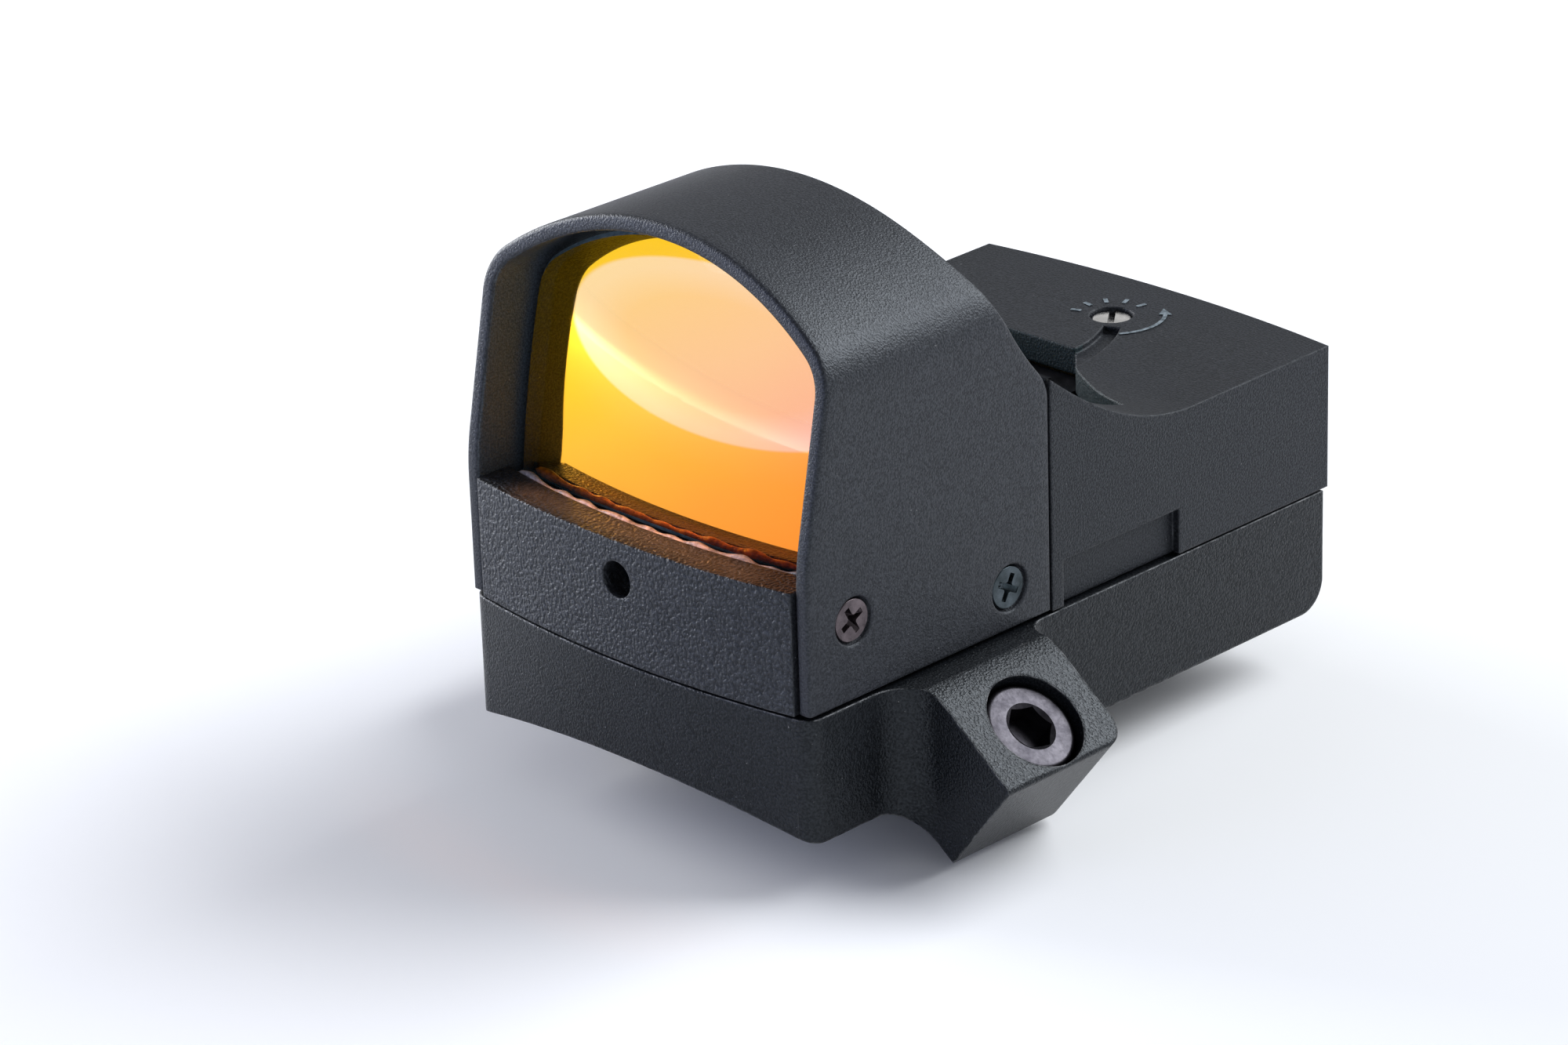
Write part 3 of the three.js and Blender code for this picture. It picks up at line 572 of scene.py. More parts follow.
def arch_path(half, corner, arch, top, bottom):
    """Points up one side, over the crown and down the other, each with its outward direction."""
    centre = top - arch
    corner_x = half - corner
    corner_z = centre + math.sqrt((arch - corner) ** 2 - corner_x ** 2)
    turn = math.atan2(corner_z - centre, corner_x)
    path = [(half, z, 0.0) for z in np.arange(bottom, corner_z - 0.2, 0.35)]
    path += [(corner_x + corner * math.cos(a), corner_z + corner * math.sin(a), a)
             for a in np.linspace(0, turn, 14)]
    path += [(arch * math.cos(a), centre + arch * math.sin(a), a)
             for a in np.linspace(turn, math.pi - turn, CROWN_STEPS)[1:-1]]
    mirrored = [(-x, z, math.pi - a) for x, z, a in path if x > 1e-6 and a <= turn + 1e-9]
    return path + mirrored[::-1]


def arch_outline(half, corner, arch, top, bottom):
    return [(x, z) for x, z, _ in arch_path(half, corner, arch, top, bottom)]


# The hood's edges seen from the side, as (Y, Z) from the joint plane up.
FRONT_EDGE = [(0, HOOD_BOTTOM - 1), (0, RAKE_START - 1.5)]
FRONT_EDGE += quadratic(
    (0, RAKE_START - 1.5), (0, RAKE_START), (1.5 * RAKE, RAKE_START + 1.5), 8)[1:]
FRONT_EDGE += [(RAKE * (HOOD_TOP - RAKE_START), HOOD_TOP)]
REAR_EDGE = [(HOOD_REAR, HOOD_BOTTOM - 1), (HOOD_REAR, 12.9)]
REAR_EDGE += quadratic((HOOD_REAR, 12.9), (HOOD_REAR, 13.9), (18.2, 15), 8)[1:]
REAR_EDGE += quadratic((18.2, 15), (CROWN_REAR + 0.5, 19.6), (CROWN_REAR, HOOD_TOP), 16)[1:]


def edge_y(edge, z):
    return float(np.interp(z, [p[1] for p in edge], [p[0] for p in edge]))


INWARD = -0.6                                # faces turned in by more than this cosine
QUARTER_TURN = [(math.cos(t), math.sin(t)) for t in np.linspace(0, math.pi / 2, 5)]
SHEET_STEPS = np.linspace(0, 1, 22)[1:-1]


def hood():
    """Arched sheet, its front and rear edges rounded and shaped by the two side outlines."""
    rings = []
    for x, z, a in arch_path(HALF, HOOD_CORNER, HOOD_ARCH, HOOD_TOP, HOOD_BOTTOM):
        inward = Vector((-math.cos(a), 0, -math.sin(a)))

        def at(depth, inset, front):
            point = Vector((x, 0, z)) + inward * depth
            side = edge_y(FRONT_EDGE, point.z) if front else edge_y(REAR_EDGE, point.z)
            point.y = side + inset if front else side - inset
            return point

        rear_lip = [at(LIP * (1 - c), LIP * (1 - s), False) for c, s in QUARTER_TURN]
        rear_lip += [at(HOOD_WALL - LIP * (1 - s), LIP * (1 - c), False) for c, s in QUARTER_TURN]
        front_lip = [at(HOOD_WALL - LIP * (1 - c), LIP * (1 - s), True) for c, s in QUARTER_TURN]
        front_lip += [at(LIP * (1 - s), LIP * (1 - c), True) for c, s in QUARTER_TURN]
        inside = [rear_lip[-1].lerp(front_lip[0], t) for t in SHEET_STEPS]
        outside = [front_lip[-1].lerp(rear_lip[0], t) for t in SHEET_STEPS]
        rings.append(rear_lip + inside + front_lip + outside)
    obj = tube("hood_shell", rings)

    seat = HOOD_SCREW_RADIUS + 0.12
    mouth = HOOD_SCREW_RADIUS + 0.22
    holes = []
    for y, z in HOOD_SCREWS:
        for side in (-1, 1):
            hole = lathe([(0, 11), (1, 11), (1, 12.9), (seat, 13.25), (seat, 13.42),
                          (mouth, 13.52), (mouth, 14), (0, 14)], 48)
            turn = Matrix.Rotation(side * math.pi / 2, 4, "Y")
            holes.append(transformed(hole, Matrix.Translation((0, y, z)) @ turn))
    combine(obj, "DIFFERENCE", holes)
    finished(obj, "hood_shell", HOOD_BLACK, replaced="hood", smooth=28)

    # Inward faces take the lighter copy of the coating: painted bounce light.
    obj.data.materials.append(HOOD_INSIDE_PAINTED_LIGHT)
    arch_centre = LAYOUT @ Vector((0, 0, HOOD_TOP - HOOD_ARCH))
    for polygon in obj.data.polygons:
        outward = polygon.center - arch_centre
        outward.y = 0
        outward.z = max(outward.z, 0)
        if polygon.normal.dot(outward.normalized()) < INWARD:
            polygon.material_index = 1


hood()


# -------- housing

def bow_arc(half, bulge):
    """(centre distance, radius) of the arc through +-half that bulges by bulge."""
    radius = (half ** 2 + bulge ** 2) / (2 * bulge)
    return radius - bulge, radius


def front_arc(half):
    """The bowed front edge from -half to half, in plan."""
    centre, radius = bow_arc(HALF, FRONT_BOW)
    angle = math.degrees(math.asin(half / radius))
    return arc(0, centre, radius, -90 - angle, -90 + angle, 40)


def housing_plan():
    """Outline seen from above: narrow inside the hood, full width behind the seam."""
    centre, radius = bow_arc(HALF, REAR_BOW)
    angle = math.degrees(math.asin(HALF / radius))
    points = front_arc(CORE_HALF)
    points += [(CORE_HALF, SEAM), (HALF, SEAM)]
    points += arc(0, REAR_CORNER - centre, radius, 90 - angle, 90 + angle, 40)
    points += [(-HALF, SEAM), (-CORE_HALF, SEAM)]
    return points


LENS_POCKET_REAR = 8.4
LENS_BED = 5.85
CAST_REAR = 3                                # faces in front of this are the rougher front wall
WELL_REAR = 34.4


def housing_side():
    """Outline seen from the side: ledge, well floor, cheek sweeping down to the deck."""
    points = [(-3, 0), (-3, FRONT_WALL_TOP), (LENS_POCKET_REAR, FRONT_WALL_TOP)]
    points += [(LENS_POCKET_REAR, FLOOR), (SEAM, FLOOR)]
    points += cubic((SEAM, CHEEK_TOP), (22.6, 11.4), (26.6, DECK), (31.5, DECK), 36)
    points += [(46, DECK + 0.15), (46, 0)]
    return points


def well_outline():
    """The well's mouth seen from above, drawn in to the left of the elevation screw."""
    points = [(-11, SEAM - 1), (11, SEAM - 1)]
    points += quadratic((11, 28.2), (8.2, 29), (6.8, 30), 8)
    points += quadratic((6.8, 30), (5.2, 30.9), (4.3, 31.6), 6)
    points += [(2.4, 33.7)]
    points += quadratic((-6, 33.7), (-11, 32.6), (-11, 28.2), 12)
    return points


def relief_outline():
    """Shallow crescent in the deck beside the well."""
    points = quadratic((2.3, 33.2), (2.5, 35), (1.2, 37.5), 12)
    points += quadratic((2.2, 37.9), (4.1, 35), (4.35, 31.2), 12)
    return points


def lens_pocket():
    """Outline from above of the bed the lens stands on, curved as its front face."""
    half = CORE_HALF + 1
    angle = math.degrees(math.asin(half / LENS_RADIUS))
    points = arc(0, LENS_FOOT[0] - 0.55 + LENS_RADIUS, LENS_RADIUS, -90 - angle, -90 + angle, 36)
    return points + [(half, LENS_POCKET_REAR + 1), (-half, LENS_POCKET_REAR + 1)]


def housing():
    """Body cut from its plan and side outlines, then hollowed and drilled."""
    cavity = DECK - DECK_THICK
    obj = prism("z", housing_plan(), 0, 20, "housing_body")
    combine(obj, "INTERSECT", [prism("x", housing_side(), -20, 20)])
    x, y = ELEVATION
    cutters = [
        prism("z", well_outline(), FLOOR, 20),
        prism("z", relief_outline(), DECK - 0.35, DECK + 1),
        prism("z", lens_pocket(), LENS_BED, 10),
        box((-11, 11), (SEAM - 1, WELL_REAR), (FLOOR, cavity)),
        box((-4.2, 4.2), (33.4, 42), (FLOOR, cavity)),
        rod("z", x, y, ADJUSTER_HEAD + 0.12, DECK - ELEVATION_RECESS - 0.55, DECK + 1, 64),
        rod("z", x, y, 0.95, cavity - 1, DECK),
        rod("x", *WINDAGE, ADJUSTER_HEAD + 0.15, -15, -12.6, 64),
        rod("x", *WINDAGE, 0.95, -13, -10),
        rod("y", 0, 4.9, 1.1, -5, -0.75),
        rod("y", 0, 4.9, 1.45, -0.8, 3.4),
        rod("z", 0, BATTERY_Y, 10.3, -1, FLOOR - 0.7, 96),
        rod("z", 0, 26.6, 0.7, 3, 5),
    ]
    for side in (-1, 1):
        near, far = sorted((side * (HALF - 0.5), side * (HALF + 1)))
        cutters.append(box((near, far), (20.3, 30.15), (-1, 2.8)))
        for screw_y, screw_z in HOOD_SCREWS:
            cutters.append(rod("x", screw_y, screw_z, 0.92, *sorted((side * 10.2, side * 14)), 32))
        sink = lathe([(0, -1), (1.45, -1), (1.45, 2.9), (2.5, 3.95), (2.5, 5), (0, 5)], 48)
        cutters.append(transformed(sink, Matrix.Translation((side * 9.3, 13.4, 0))))
        cutters.append(rod("z", side * 9.5, 4.4, 1.12, -1, 2.3, 32))
        cutters.append(rod("z", side * 7.6, 21.6, 0.65, 3.65, 5, 24))
    combine(obj, "DIFFERENCE", cutters)
    rounded(obj, 0.3)
    finished(obj, "housing_body", HOUSING_BLACK, replaced="housing", smooth=40)

    obj.data.materials.append(CAST_BLACK)
    obj.data.materials.append(WELL_PAINTED_TEAL_LIGHT)
    to_layout = LAYOUT.inverted()
    for polygon in obj.data.polygons:
        x, y, z = to_layout @ polygon.center
        # Faces in the well take the teal copy: painted light from the board.
        in_well = SEAM < y < WELL_REAR + 0.1 and abs(x) < 11.1 and FLOOR - 0.1 < z < DECK - 0.1
        if y < CAST_REAR:
            polygon.material_index = 1
        elif in_well:
            polygon.material_index = 2


housing()


# -------- saddle

EAR_SLOPE = math.tan(EAR_TILT)


def face_z(x):
    """Height of the ear's screw face."""
    return EAR_CORNER[1] + (EAR_CORNER[0] - x) * EAR_SLOPE


EAR_THICK = (face_z(HALF) - SADDLE_EDGE) * math.cos(EAR_TILT)
LEDGE_X = EAR_CORNER[0] + EAR_CORNER[1] / EAR_SLOPE


def saddle_profile():
    """Outline seen from the front: channel below, ear on either side, flat top."""
    sagitta = SADDLE_CREST - SADDLE_EDGE
    centre, radius = bow_arc(HALF, sagitta)
    angle = math.degrees(math.asin(HALF / radius))
    foot_x = EAR_CORNER[0] - math.sin(EAR_TILT) * EAR_THICK
    foot_z = EAR_CORNER[1] - math.cos(EAR_TILT) * EAR_THICK
    blend = 1.4
    round_off = 0.3
    middle = (EAR_CORNER[0] - round_off * (math.sin(EAR_TILT) + math.cos(EAR_TILT)),
              EAR_CORNER[1] - round_off * (math.cos(EAR_TILT) - math.sin(EAR_TILT)))
    right = [(foot_x, foot_z)]
    right += arc(*middle, round_off, -math.degrees(EAR_TILT), 90 - math.degrees(EAR_TILT), 8)
    right += quadratic(
        (LEDGE_X + blend, face_z(LEDGE_X + blend)), (LEDGE_X, 0), (LEDGE_X - blend, 0), 14)
    left = [(-x, z) for x, z in reversed(right)]
    return arc(0, SADDLE_CREST - radius, radius, 90 + angle, 90 - angle, 60) + right + left


def saddle_plan():
    """Outline seen from above, the ears run out beyond the profile that trims them."""
    reach = 24
    corner = 1.0
    front, rear = EAR_FILLET
    right = quadratic((HALF - corner, -0.18), (HALF, 0), (HALF, corner), 10)
    right += arc(HALF + front, EAR_Y[0] - front, front, 180, 90, 20)
    right += [(reach, EAR_Y[0]), (reach, EAR_Y[1])]
    right += arc(HALF + rear, EAR_Y[1] + rear, rear, -90, -180, 16)
    right += [(HALF, SADDLE_REAR)]
    return front_arc(HALF - corner) + right + [(-x, y) for x, y in reversed(right)]


def saddle_side():
    """Outline seen from the side: rounded at the lower rear, flat on top."""
    radius = 1.9
    points = [(-3, -14), (28, -14), (28, SADDLE_EDGE), (SADDLE_REAR - radius, SADDLE_EDGE)]
    points += arc(SADDLE_REAR - radius, SADDLE_EDGE + radius, radius, -90, 0, 14)
    return points + [(SADDLE_REAR, -0.15), (-3, -0.15)]


def on_clamp_axis(obj, side):
    """Moves a piece turned about Z so that zero lies on the ear's face and +Z points outwards."""
    x = side * CLAMP[0]
    move = Matrix.Translation((x, CLAMP[1], face_z(CLAMP[0])))
    return transformed(obj, move @ Matrix.Rotation(side * EAR_TILT, 4, "Y"))


def ear_corner(side):
    """Cutter that rounds the ear's outer rear corner, as seen along the clamp screw."""
    radius = 1.5
    edge = (EAR_CORNER[0] - CLAMP[0]) / math.cos(EAR_TILT)
    rear = EAR_Y[1] - CLAMP[1]
    points = arc(edge - radius, rear - radius, radius, 0, 90, 12)
    points += [(edge - radius, rear + 1), (edge + 1, rear + 1), (edge + 1, rear - radius)]
    return prism("z", [(side * u, v) for u, v in points], -9, 2)


def saddle():
    """Saddle cut from its three outlines, then drilled for its screws, pins and cell."""
    obj = prism("z", saddle_plan(), -14, 1, "saddle_body")
    combine(obj, "INTERSECT", [
        prism("y", saddle_profile(), -4, 46), prism("x", saddle_side(), -30, 30)])
    cutters = []
    for side in (-1, 1):
        bore = lathe([(0, -16), (1.7, -16), (1.7, -COUNTERBORE_DEPTH),
                      (COUNTERBORE, -COUNTERBORE_DEPTH), (COUNTERBORE, 4), (0, 4)], 72)
        cutters.append(on_clamp_axis(bore, side))
        cutters.append(on_clamp_axis(ear_corner(side), side))
        cutters.append(rod("z", side * 9.3, 13.4, 1.4, -5.3, 1, 32))
        cutters.append(rod("z", side * 9.5, 4.4, 1.12, -2.6, 1, 32))
    cutters.append(rod("z", 0, BATTERY_Y, 8.2, -0.75, 1, 96))
    combine(obj, "DIFFERENCE", cutters)
    rounded(obj, 0.2)
    finished(obj, "saddle_body", SADDLE_BLACK_SHADE_AND_HIGHLIGHT, replaced="saddle_base",
             smooth=40)


saddle()


# -------- clamp and hood screws

def clamp_screw(side, name):
    """Socket cap screw with a rolled thread and a chamfered hexagon socket."""
    top, radius, height = -0.55, 2.75, 3.0
    root, crest, pitch, turns = 1.22, 1.46, 0.5, 10
    across_flats, socket_depth = 2.5, 1.5
    edge = 0.3                               # rounding of the head's rim
    under = top - height
    profile = [(0, under - 6), (1.05, under - 6)]
    for i in range(turns):
        base = under - 5.9 + i * pitch
        profile += [(root, base + 0.06), (crest, base + 0.22), (crest, base + 0.3),
                    (root, base + 0.46)]
    profile += [(1.45, under - 0.2), (1.55, under), (radius - 0.12, under), (radius, under + 0.12)]
    profile += [(radius, top - edge)]
    profile += [(radius - edge + edge * math.cos(a), top - edge + edge * math.sin(a))
                for a in np.linspace(0.2, math.pi / 2, 6)]
    profile += [(0, top)]
    obj = lathe(profile, 96)
    corner = across_flats / math.sqrt(3)
    hexagon = prism("z", [(corner * math.cos(a), corner * math.sin(a))
                          for a in np.radians(np.arange(15, 375, 60))], top - socket_depth, top + 1)
    chamfer = lathe([(0, top - 0.62), (1.05, top - 0.3), (1.62, top + 0.06), (1.62, top + 1),
                     (0, top + 1)], 72)
    combine(obj, "DIFFERENCE", [hexagon, chamfer])
    on_clamp_axis(obj, side)
    finished(obj, name + "_finished", OXIDE_STEEL, replaced=name, smooth=28)


clamp_screw(-1, "clamp_screw_left")
clamp_screw(1, "clamp_screw_right")


def hood_screw(side, y, z, name, turn, material):
    """Countersunk screw with a cross recess whose arms taper to the middle."""
    face = 13.35
    obj = lathe([(0, 10.6), (0.72, 10.6), (0.72, 12.75), (HOOD_SCREW_RADIUS - 0.05, 13.18),
                 (HOOD_SCREW_RADIUS, 13.26), (HOOD_SCREW_RADIUS - 0.07, face), (0, face)], 48)
    reach, half_width = 0.84, 0.18
    arms = []
    for angle in (0, 90):
        arm = prism("y", [(-reach, face + 0.3), (-reach, face - 0.05), (-0.35, face - 0.62),
                          (0.35, face - 0.62), (reach, face - 0.05), (reach, face + 0.3)],
                    -half_width, half_width)
        arms.append(transformed(arm, Matrix.Rotation(math.radians(angle), 4, "Z")))
    arms.append(lathe([(0, face - 0.75), (0.3, face - 0.5), (0.36, face + 0.3),
                       (0, face + 0.3)], 24))
    combine(obj, "DIFFERENCE", arms)
    rounded(obj, 0.035, 2)
    place = Matrix.Translation((0, y, z)) @ Matrix.Rotation(side * math.pi / 2, 4, "Y")
    transformed(obj, place @ Matrix.Rotation(math.radians(turn), 4, "Z"))
    finished(obj, name + "_finished", material, replaced=name)


for row, (screw_y, screw_z), turn, steel in (("front", HOOD_SCREWS[0], 28, SCREW_STEEL),
                                             ("rear", HOOD_SCREWS[1], 62, BLUED_STEEL)):
    hood_screw(-1, screw_y, screw_z, f"hood_screw_{row}_left", turn + 17, steel)
    hood_screw(1, screw_y, screw_z, f"hood_screw_{row}_right", turn, steel)


# -------- lens

LENS_PLACE = Matrix.Translation((0, *LENS_FOOT)) @ Matrix.Rotation(-LENS_TILT, 4, "X")


def sag(x, z, radius):
    """How far a face of that radius falls back at a point, from the optical axis."""
    return radius - math.sqrt(radius ** 2 - x ** 2 - (z - LENS_AXIS) ** 2)


def lens_element(near, far, inset, bevel):
    """Meniscus with polished faces (slots 0 and 1) and a ground, bevelled rim (slot 2).

    near and far are the faces as (depth on the axis, radius).
    """
    rim = arch_outline(LENS_HALF, HOOD_CORNER - HOOD_WALL, HOOD_ARCH - HOOD_WALL, LENS_HEIGHT, 0)
    rim += [(x, 0) for x in np.linspace(-LENS_HALF, LENS_HALF, 40)[1:-1]]
    rings = 16
    middle = (0, LENS_AXIS + 1)
    bm = bmesh.new()

    def ring(scale, face, inset=0.0, shift=0.0):
        verts = []
        for x, z in rim:
            length = math.dist((x, z), middle)
            share = scale * (length - inset) / length
            px = middle[0] + (x - middle[0]) * share
            pz = middle[1] + (z - middle[1]) * share
            verts.append(bm.verts.new((px, face[0] + shift + sag(px, pz, face[1]), pz)))
        return verts

    def skin(a, b, slot):
        for i in range(len(rim)):
            j = (i + 1) % len(rim)
            bm.faces.new((a[i], a[j], b[j], b[i])).material_index = slot

    def disc(face, slot):
        centre = bm.verts.new((middle[0], face[0] + sag(*middle, face[1]), middle[1]))
        previous = ring(1 / rings, face)
        for i in range(len(rim)):
            j = (i + 1) % len(rim)
            bm.faces.new((centre, previous[i], previous[j])).material_index = slot
        for step in range(2, rings):
            following = ring(step / rings, face)
            skin(previous, following, slot)
            previous = following
        last = ring(1, face, inset)
        skin(previous, last, slot)
        return last

    front = disc(near, 0)
    rear = disc(far, 1)
    front_rim = ring(1, near, shift=bevel)
    rear_rim = ring(1, far, shift=-bevel)
    skin(front, front_rim, 2)
    skin(front_rim, rear_rim, 2)
    skin(rear_rim, rear, 2)
    return transformed(new_object("lens", bm), LENS_PLACE)


def lens():
    """The two elements; the coating is on the front one's outer face."""
    front = lens_element((0, LENS_RADIUS), (FRONT_ELEMENT, LENS_INNER_RADIUS), 0.28, 0.25)
    for material in (COATING, GLASS, GLASS_EDGE):
        front.data.materials.append(material)
    finished(front, "lens_front", None, replaced="lens_front_element")
    rear = lens_element(
        (FRONT_ELEMENT + ELEMENT_GAP, LENS_INNER_RADIUS), (LENS_THICK, LENS_RADIUS), 0.3, 0.3)
    for material in (GLASS, REAR_GLASS, AMBER_EDGE):
        rear.data.materials.append(material)
    finished(rear, "lens_rear", None, replaced="lens_rear_element")


lens()


def sealant_bead():
    """Uneven bead squeezed out along the foot of the lens."""
    half = LENS_HALF - 0.45
    draw = random.Random(7)
    waves = [(draw.uniform(0.6, 4.2), draw.uniform(0, 6.28), draw.uniform(0.02, 0.05))
             for _ in range(10)]
    sides, steps = 12, 200
    rings = []
    for x in np.linspace(-half, half, steps):
        wobble = sum(size * math.sin(rate * x + phase) for rate, phase, size in waves)
        thick = 0.17 + wobble * 0.35
        taper = min(1.0, (half - abs(x)) / 0.5 + 0.05)
        reach = thick * taper
        lens_y = LENS_FOOT[0] + x * x / (2 * LENS_RADIUS)
        centre = Vector((x, lens_y - 0.3 + wobble * 0.25, 7.0 + wobble * 0.35))
        rings.append([centre + Vector((0, reach * 1.1 * math.cos(a), reach * 1.5 * math.sin(a)))
                      for a in np.linspace(0, 2 * math.pi, sides, endpoint=False)])
    finished(tube("sealant_bead", rings), "sealant_bead", SEALANT, replaced="lens_sealant",
             smooth=180)


sealant_bead()


# -------- adjusters

def adjuster(name, length, clip_z, head_top, place, turn):
    """Slotted screw with its head at place, along its +Z, turned by turn degrees about it."""
    root, shank, head, thick = 0.7, 0.85, ADJUSTER_HEAD, 0.5
    pitch = 0.4
    neck, half_neck = 0.62, 0.22             # groove that holds the clip
    edge = 0.14                              # rounding of the head's rim
    profile = [(0, -length), (root, -length)]
    for i in range(int((length + clip_z - 0.35) / pitch)):
        base = -length + 0.1 + i * pitch
        profile += [(root, base), (shank, base + 0.15), (shank, base + 0.2), (root, base + 0.35)]
    profile += [(shank, clip_z - half_neck), (neck, clip_z - half_neck),
                (neck, clip_z + half_neck), (shank, clip_z + half_neck)]
    under = head_top - thick
    profile += [(shank, under), (head, under), (head, head_top - edge)]
    profile += [(head - edge + edge * math.cos(a), head_top - edge + edge * math.sin(a))
                for a in np.linspace(0.3, math.pi / 2, 5)]
    profile += [(0, head_top)]
    obj = lathe(profile, 72)
    slot = box((-2, 2), (-0.2, 0.2), (head_top - 0.32, head_top + 1))
    combine(obj, "DIFFERENCE", [slot])
    transformed(obj, place @ Matrix.Rotation(math.radians(turn), 4, "Z"))
    finished(obj, name + "_screw_finished", BRIGHT_STEEL, name + "_adjuster", name + "_screw",
             28)


adjuster("elevation", 4.2, -1.72, 0,
         Matrix.Translation((*ELEVATION, DECK - ELEVATION_RECESS)), 128)
adjuster("windage", 6.8, -2.85, -0.1,
         Matrix.Translation((-HALF, *WINDAGE)) @ Matrix.Rotation(-math.pi / 2, 4, "Y"), 20)


def flat_mark(name, outline):
    """Thin painted mark that follows the deck's slight rise to the rear."""
    deck_front, rise = 31.5, 0.15 / (46 - 31.5)
    obj = prism("z", outline, 0, 0.02, name)
    for vertex in obj.data.vertices:
        vertex.co.z += DECK + 0.035 + (vertex.co.y - deck_front) * rise
    finished(obj, name, MARKING)


def deck_marks():
    """Ticks round the elevation screw and a curved arrow, without letters."""
    x, y = ELEVATION
    for index, angle in enumerate((80, 110, 140, 170, 200)):
        direction = Vector((math.cos(math.radians(angle)), math.sin(math.radians(angle))))
        across = Vector((-direction.y, direction.x)) * 0.13
        start, end = direction * 1.95, direction * 2.6
        corners = [start - across, end - across, end + across, start + across]
        flat_mark(f"deck_tick_{index + 1}", [(x + c.x, y + c.y) for c in corners])
    radius, half_line, half_head = 3.2, 0.12, 0.4
    tail, neck, point = -40, 38, 56          # places along the arrow, in degrees
    shaft = arc(x, y, radius + half_line, tail, neck, 20)
    shaft += arc(x, y, radius - half_line, neck, tail, 20)
    flat_mark("deck_arrow_shaft", shaft)
    flat_mark("deck_arrow_head", [
        arc(x, y, radius + half_head, neck, point, 1)[0], arc(x, y, radius, neck, point, 1)[1],
        arc(x, y, radius - half_head, neck, point, 1)[0]])


deck_marks()


# -------- electronics in the well

def board_part(name, x, y, z, width, depth, rounding, material):
    """Small block on the board, centred on x and y and reaching from z[0] to z[1]."""
    obj = box((x - width / 2, x + width / 2), (y - depth / 2, y + depth / 2), z)
    rounded(obj, rounding, 2)
    finished(obj, name, material)


def board_parts():
    """A controller, a regulator and five resistors with their soldered ends."""
    top = layout_box("main_board")[1].z
    board_part("board_controller", -1.2, 23.0, (top + 0.06, top + 0.55), 3.2, 2.4, 0.06,
               CHIP_BLACK)
    board_part("board_regulator", 4.4, 25.6, (top + 0.06, top + 0.5), 1.6, 1.4, 0.06,
               CHIP_BLACK)
    resistors = ((-6.2, 25.2), (-4.6, 25.2), (1.6, 27.0), (3.0, 22.2), (-3.4, 28.0))
    for index, (x, y) in enumerate(resistors):
        board_part(f"board_resistor_{index + 1}", x, y, (top + 0.02, top + 0.32), 1.0, 0.6, 0.05,
                   CHIP_BLACK)
        for end, side in ((-0.62, "left"), (0.62, "right")):
            board_part(f"board_pad_{index + 1}_{side}", x + end, y, (top + 0.01, top + 0.2),
                       0.32, 0.68, 0.05, SOLDER)


board_parts()


def elevation_spring():
    """Round wire coil between the block and the elevation clip."""
    low, high = layout_box("elevation_spring")
    radius = (high.x - low.x) / 2 - SPRING_WIRE
    sides, steps = 14, 150
    rings = []
    for share in np.linspace(0, 1, steps):
        a = share * SPRING_TURNS * 2 * math.pi
        outward = Vector((math.cos(a), math.sin(a), 0))
        height = low.z + SPRING_WIRE + share * (high.z - low.z - 2 * SPRING_WIRE)
        centre = Vector((*ELEVATION, height)) + outward * radius
        rings.append([
            centre + outward * SPRING_WIRE * math.cos(t) + Vector((0, 0, SPRING_WIRE * math.sin(t)))
            for t in np.linspace(0, 2 * math.pi, sides, endpoint=False)])
    obj = finished(tube("spring", rings), "elevation_spring_coil", BRIGHT_STEEL,
                   replaced="elevation_spring", smooth=60)
    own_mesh(obj)


elevation_spring()


# -------- CAD meshes that are kept

SHOWN = (
    (OXIDE_STEEL, ("base_screw_left", "base_screw_right")),
    (BRIGHT_STEEL, ("locating_pin_left", "locating_pin_right", "battery", "board_screw_left",
                    "board_screw_right", "elevation_clip", "windage_clip")),
    (BRASS, ("battery_contact", "elevation_block", "windage_nut")),
    (BLACK_PLASTIC, ("battery_pad", "emitter_block")),
    (RUBBER, ("battery_seal",)),
    (BOARD_GREEN, ("main_board",)),
    (CLEAR_EPOXY, ("light_sensor",)),
    (RED_EPOXY, ("emitter_led",)),
)
for material, names in SHOWN:
    for name in names:
        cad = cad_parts[name]
        cad.data.materials.clear()
        cad.data.materials.append(material)


# -------- studio and camera

def floor():
    """Plain pale floor just under the part."""
    material, tree = new_material("studio floor")
    principled(tree, {
        "Base Color": (0.9, 0.9, 0.91, 1), "Roughness": 0.9, "Specular IOR Level": 0.1})
    bm = bmesh.new()
    bmesh.ops.create_grid(bm, x_segments=1, y_segments=1, size=3.0)
    obj = new_object("studio_floor", bm)
    obj.location.z = cad_box[0].z - 0.0001
    obj.data.materials.append(material)


def area_light(name, direction, distance, size, power, target, colour):
    """Soft box seen from the finder along direction (azimuth from +X towards +Y, elevation)."""
    azimuth, elevation = (math.radians(v) for v in direction)
    offset = Vector((math.cos(azimuth) * math.cos(elevation),
                     math.sin(azimuth) * math.cos(elevation), math.sin(elevation)))
    data = bpy.data.lights.new(name, "AREA")
    data.shape = "RECTANGLE"
    data.size, data.size_y = size
    data.energy = power
    data.color = colour
    obj = bpy.data.objects.new(name, data)
    bpy.context.scene.collection.objects.link(obj)
    obj.location = target + offset * distance
    obj.rotation_mode = "QUATERNION"
    obj.rotation_quaternion = offset.to_track_quat("Z", "Y")
    return obj


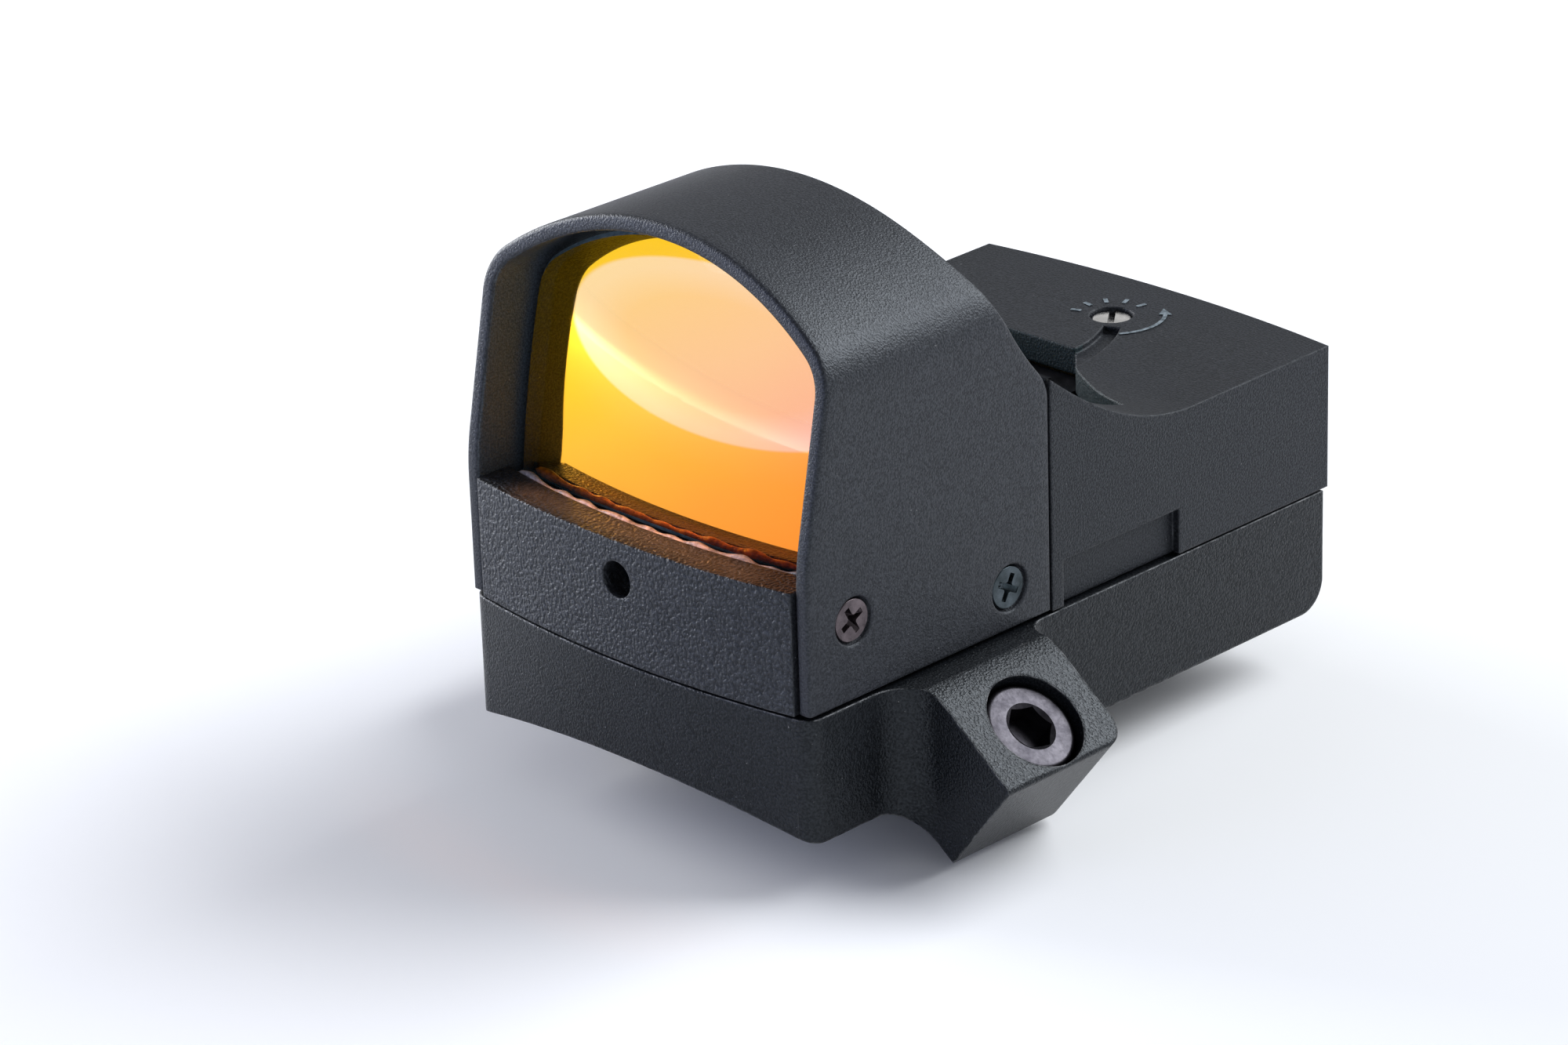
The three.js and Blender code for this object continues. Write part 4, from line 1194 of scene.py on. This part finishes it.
# Direction, distance, size, power and colour of each soft box.
PANELS = {
    "key_behind_right": ((65, 40), 0.9, (0.8, 0.6), 11.0, (0.94, 0.97, 1.0)),
    "panel_front_left": ((228, 14), 0.4, (0.6, 0.27), 0.8, (0.5, 0.58, 1.0)),
    "panel_left": ((190, 12), 0.5, (0.3, 0.2), 2.8, (1, 1, 1)),
    "panel_behind_left": ((136, 24), 0.6, (0.3, 0.2), 0.08, (1, 1, 1)),
    "fill_right": ((330, 12), 0.7, (0.4, 0.3), 0.35, (0.8, 0.9, 1.0)),
    "fill_front": ((296, 4), 0.7, (0.3, 0.2), 0.2, (0.75, 0.88, 1.0)),
}


def studio():
    """Pale world, soft boxes round the part, and a plain view transform."""
    scene = bpy.context.scene
    world = bpy.data.worlds.new("studio")
    world.use_nodes = True
    background = world.node_tree.nodes["Background"]
    background.inputs["Color"].default_value = (0.95, 0.97, 1.0, 1)
    background.inputs["Strength"].default_value = 0.26
    scene.world = world
    middle = (cad_box[0] + cad_box[1]) / 2
    for name, (direction, distance, size, power, colour) in PANELS.items():
        area_light(name, direction, distance, size, power, middle, colour)
    # Stands for the amber light the lens throws on the ledge before it; the lamp isn't seen.
    glow = area_light("lens_glow", (270, 88), 0.001, (0.019, 0.001), 0.0005,
                      LAYOUT @ Vector((0, 0.2, 8.8)), (1.0, 0.4, 0.15))
    glow.data.spread = math.radians(70)
    glow.visible_camera = glow.visible_glossy = glow.visible_transmission = False
    scene.view_settings.view_transform = "Standard"
    scene.view_settings.look = "None"
    scene.view_settings.exposure = 0.0


# The photograph's camera: direction and roll in degrees, distance in metres.
AZIMUTH, ELEVATION_ANGLE, ROLL = 45.61, 22.89, -1.91
CAMERA_DISTANCE = 0.30433
CAMERA_TARGET = LAYOUT @ Vector((3.92, 7.89, 6.44))
LENS_MM, SENSOR_MM = 126, 36


def camera():
    """Looks at CAMERA_TARGET from the photograph's direction, rolled as it is."""
    a, e, r = (math.radians(v) for v in (AZIMUTH, ELEVATION_ANGLE, ROLL))
    right = Vector((math.cos(a), math.sin(a), 0))
    back = Vector((math.sin(a) * math.cos(e), -math.cos(a) * math.cos(e), math.sin(e)))
    up = back.cross(right)
    tilted_right = math.cos(r) * right + math.sin(r) * up
    tilted_up = -math.sin(r) * right + math.cos(r) * up
    data = bpy.data.cameras.new("camera")
    data.lens, data.sensor_width = LENS_MM, SENSOR_MM
    data.clip_start, data.clip_end = 0.01, 20
    obj = bpy.data.objects.new("camera", data)
    bpy.context.scene.collection.objects.link(obj)
    basis = Matrix((tilted_right, tilted_up, back)).transposed().to_4x4()
    obj.matrix_world = Matrix.Translation(CAMERA_TARGET + back * CAMERA_DISTANCE) @ basis
    bpy.context.scene.camera = obj


floor()
studio()
camera()
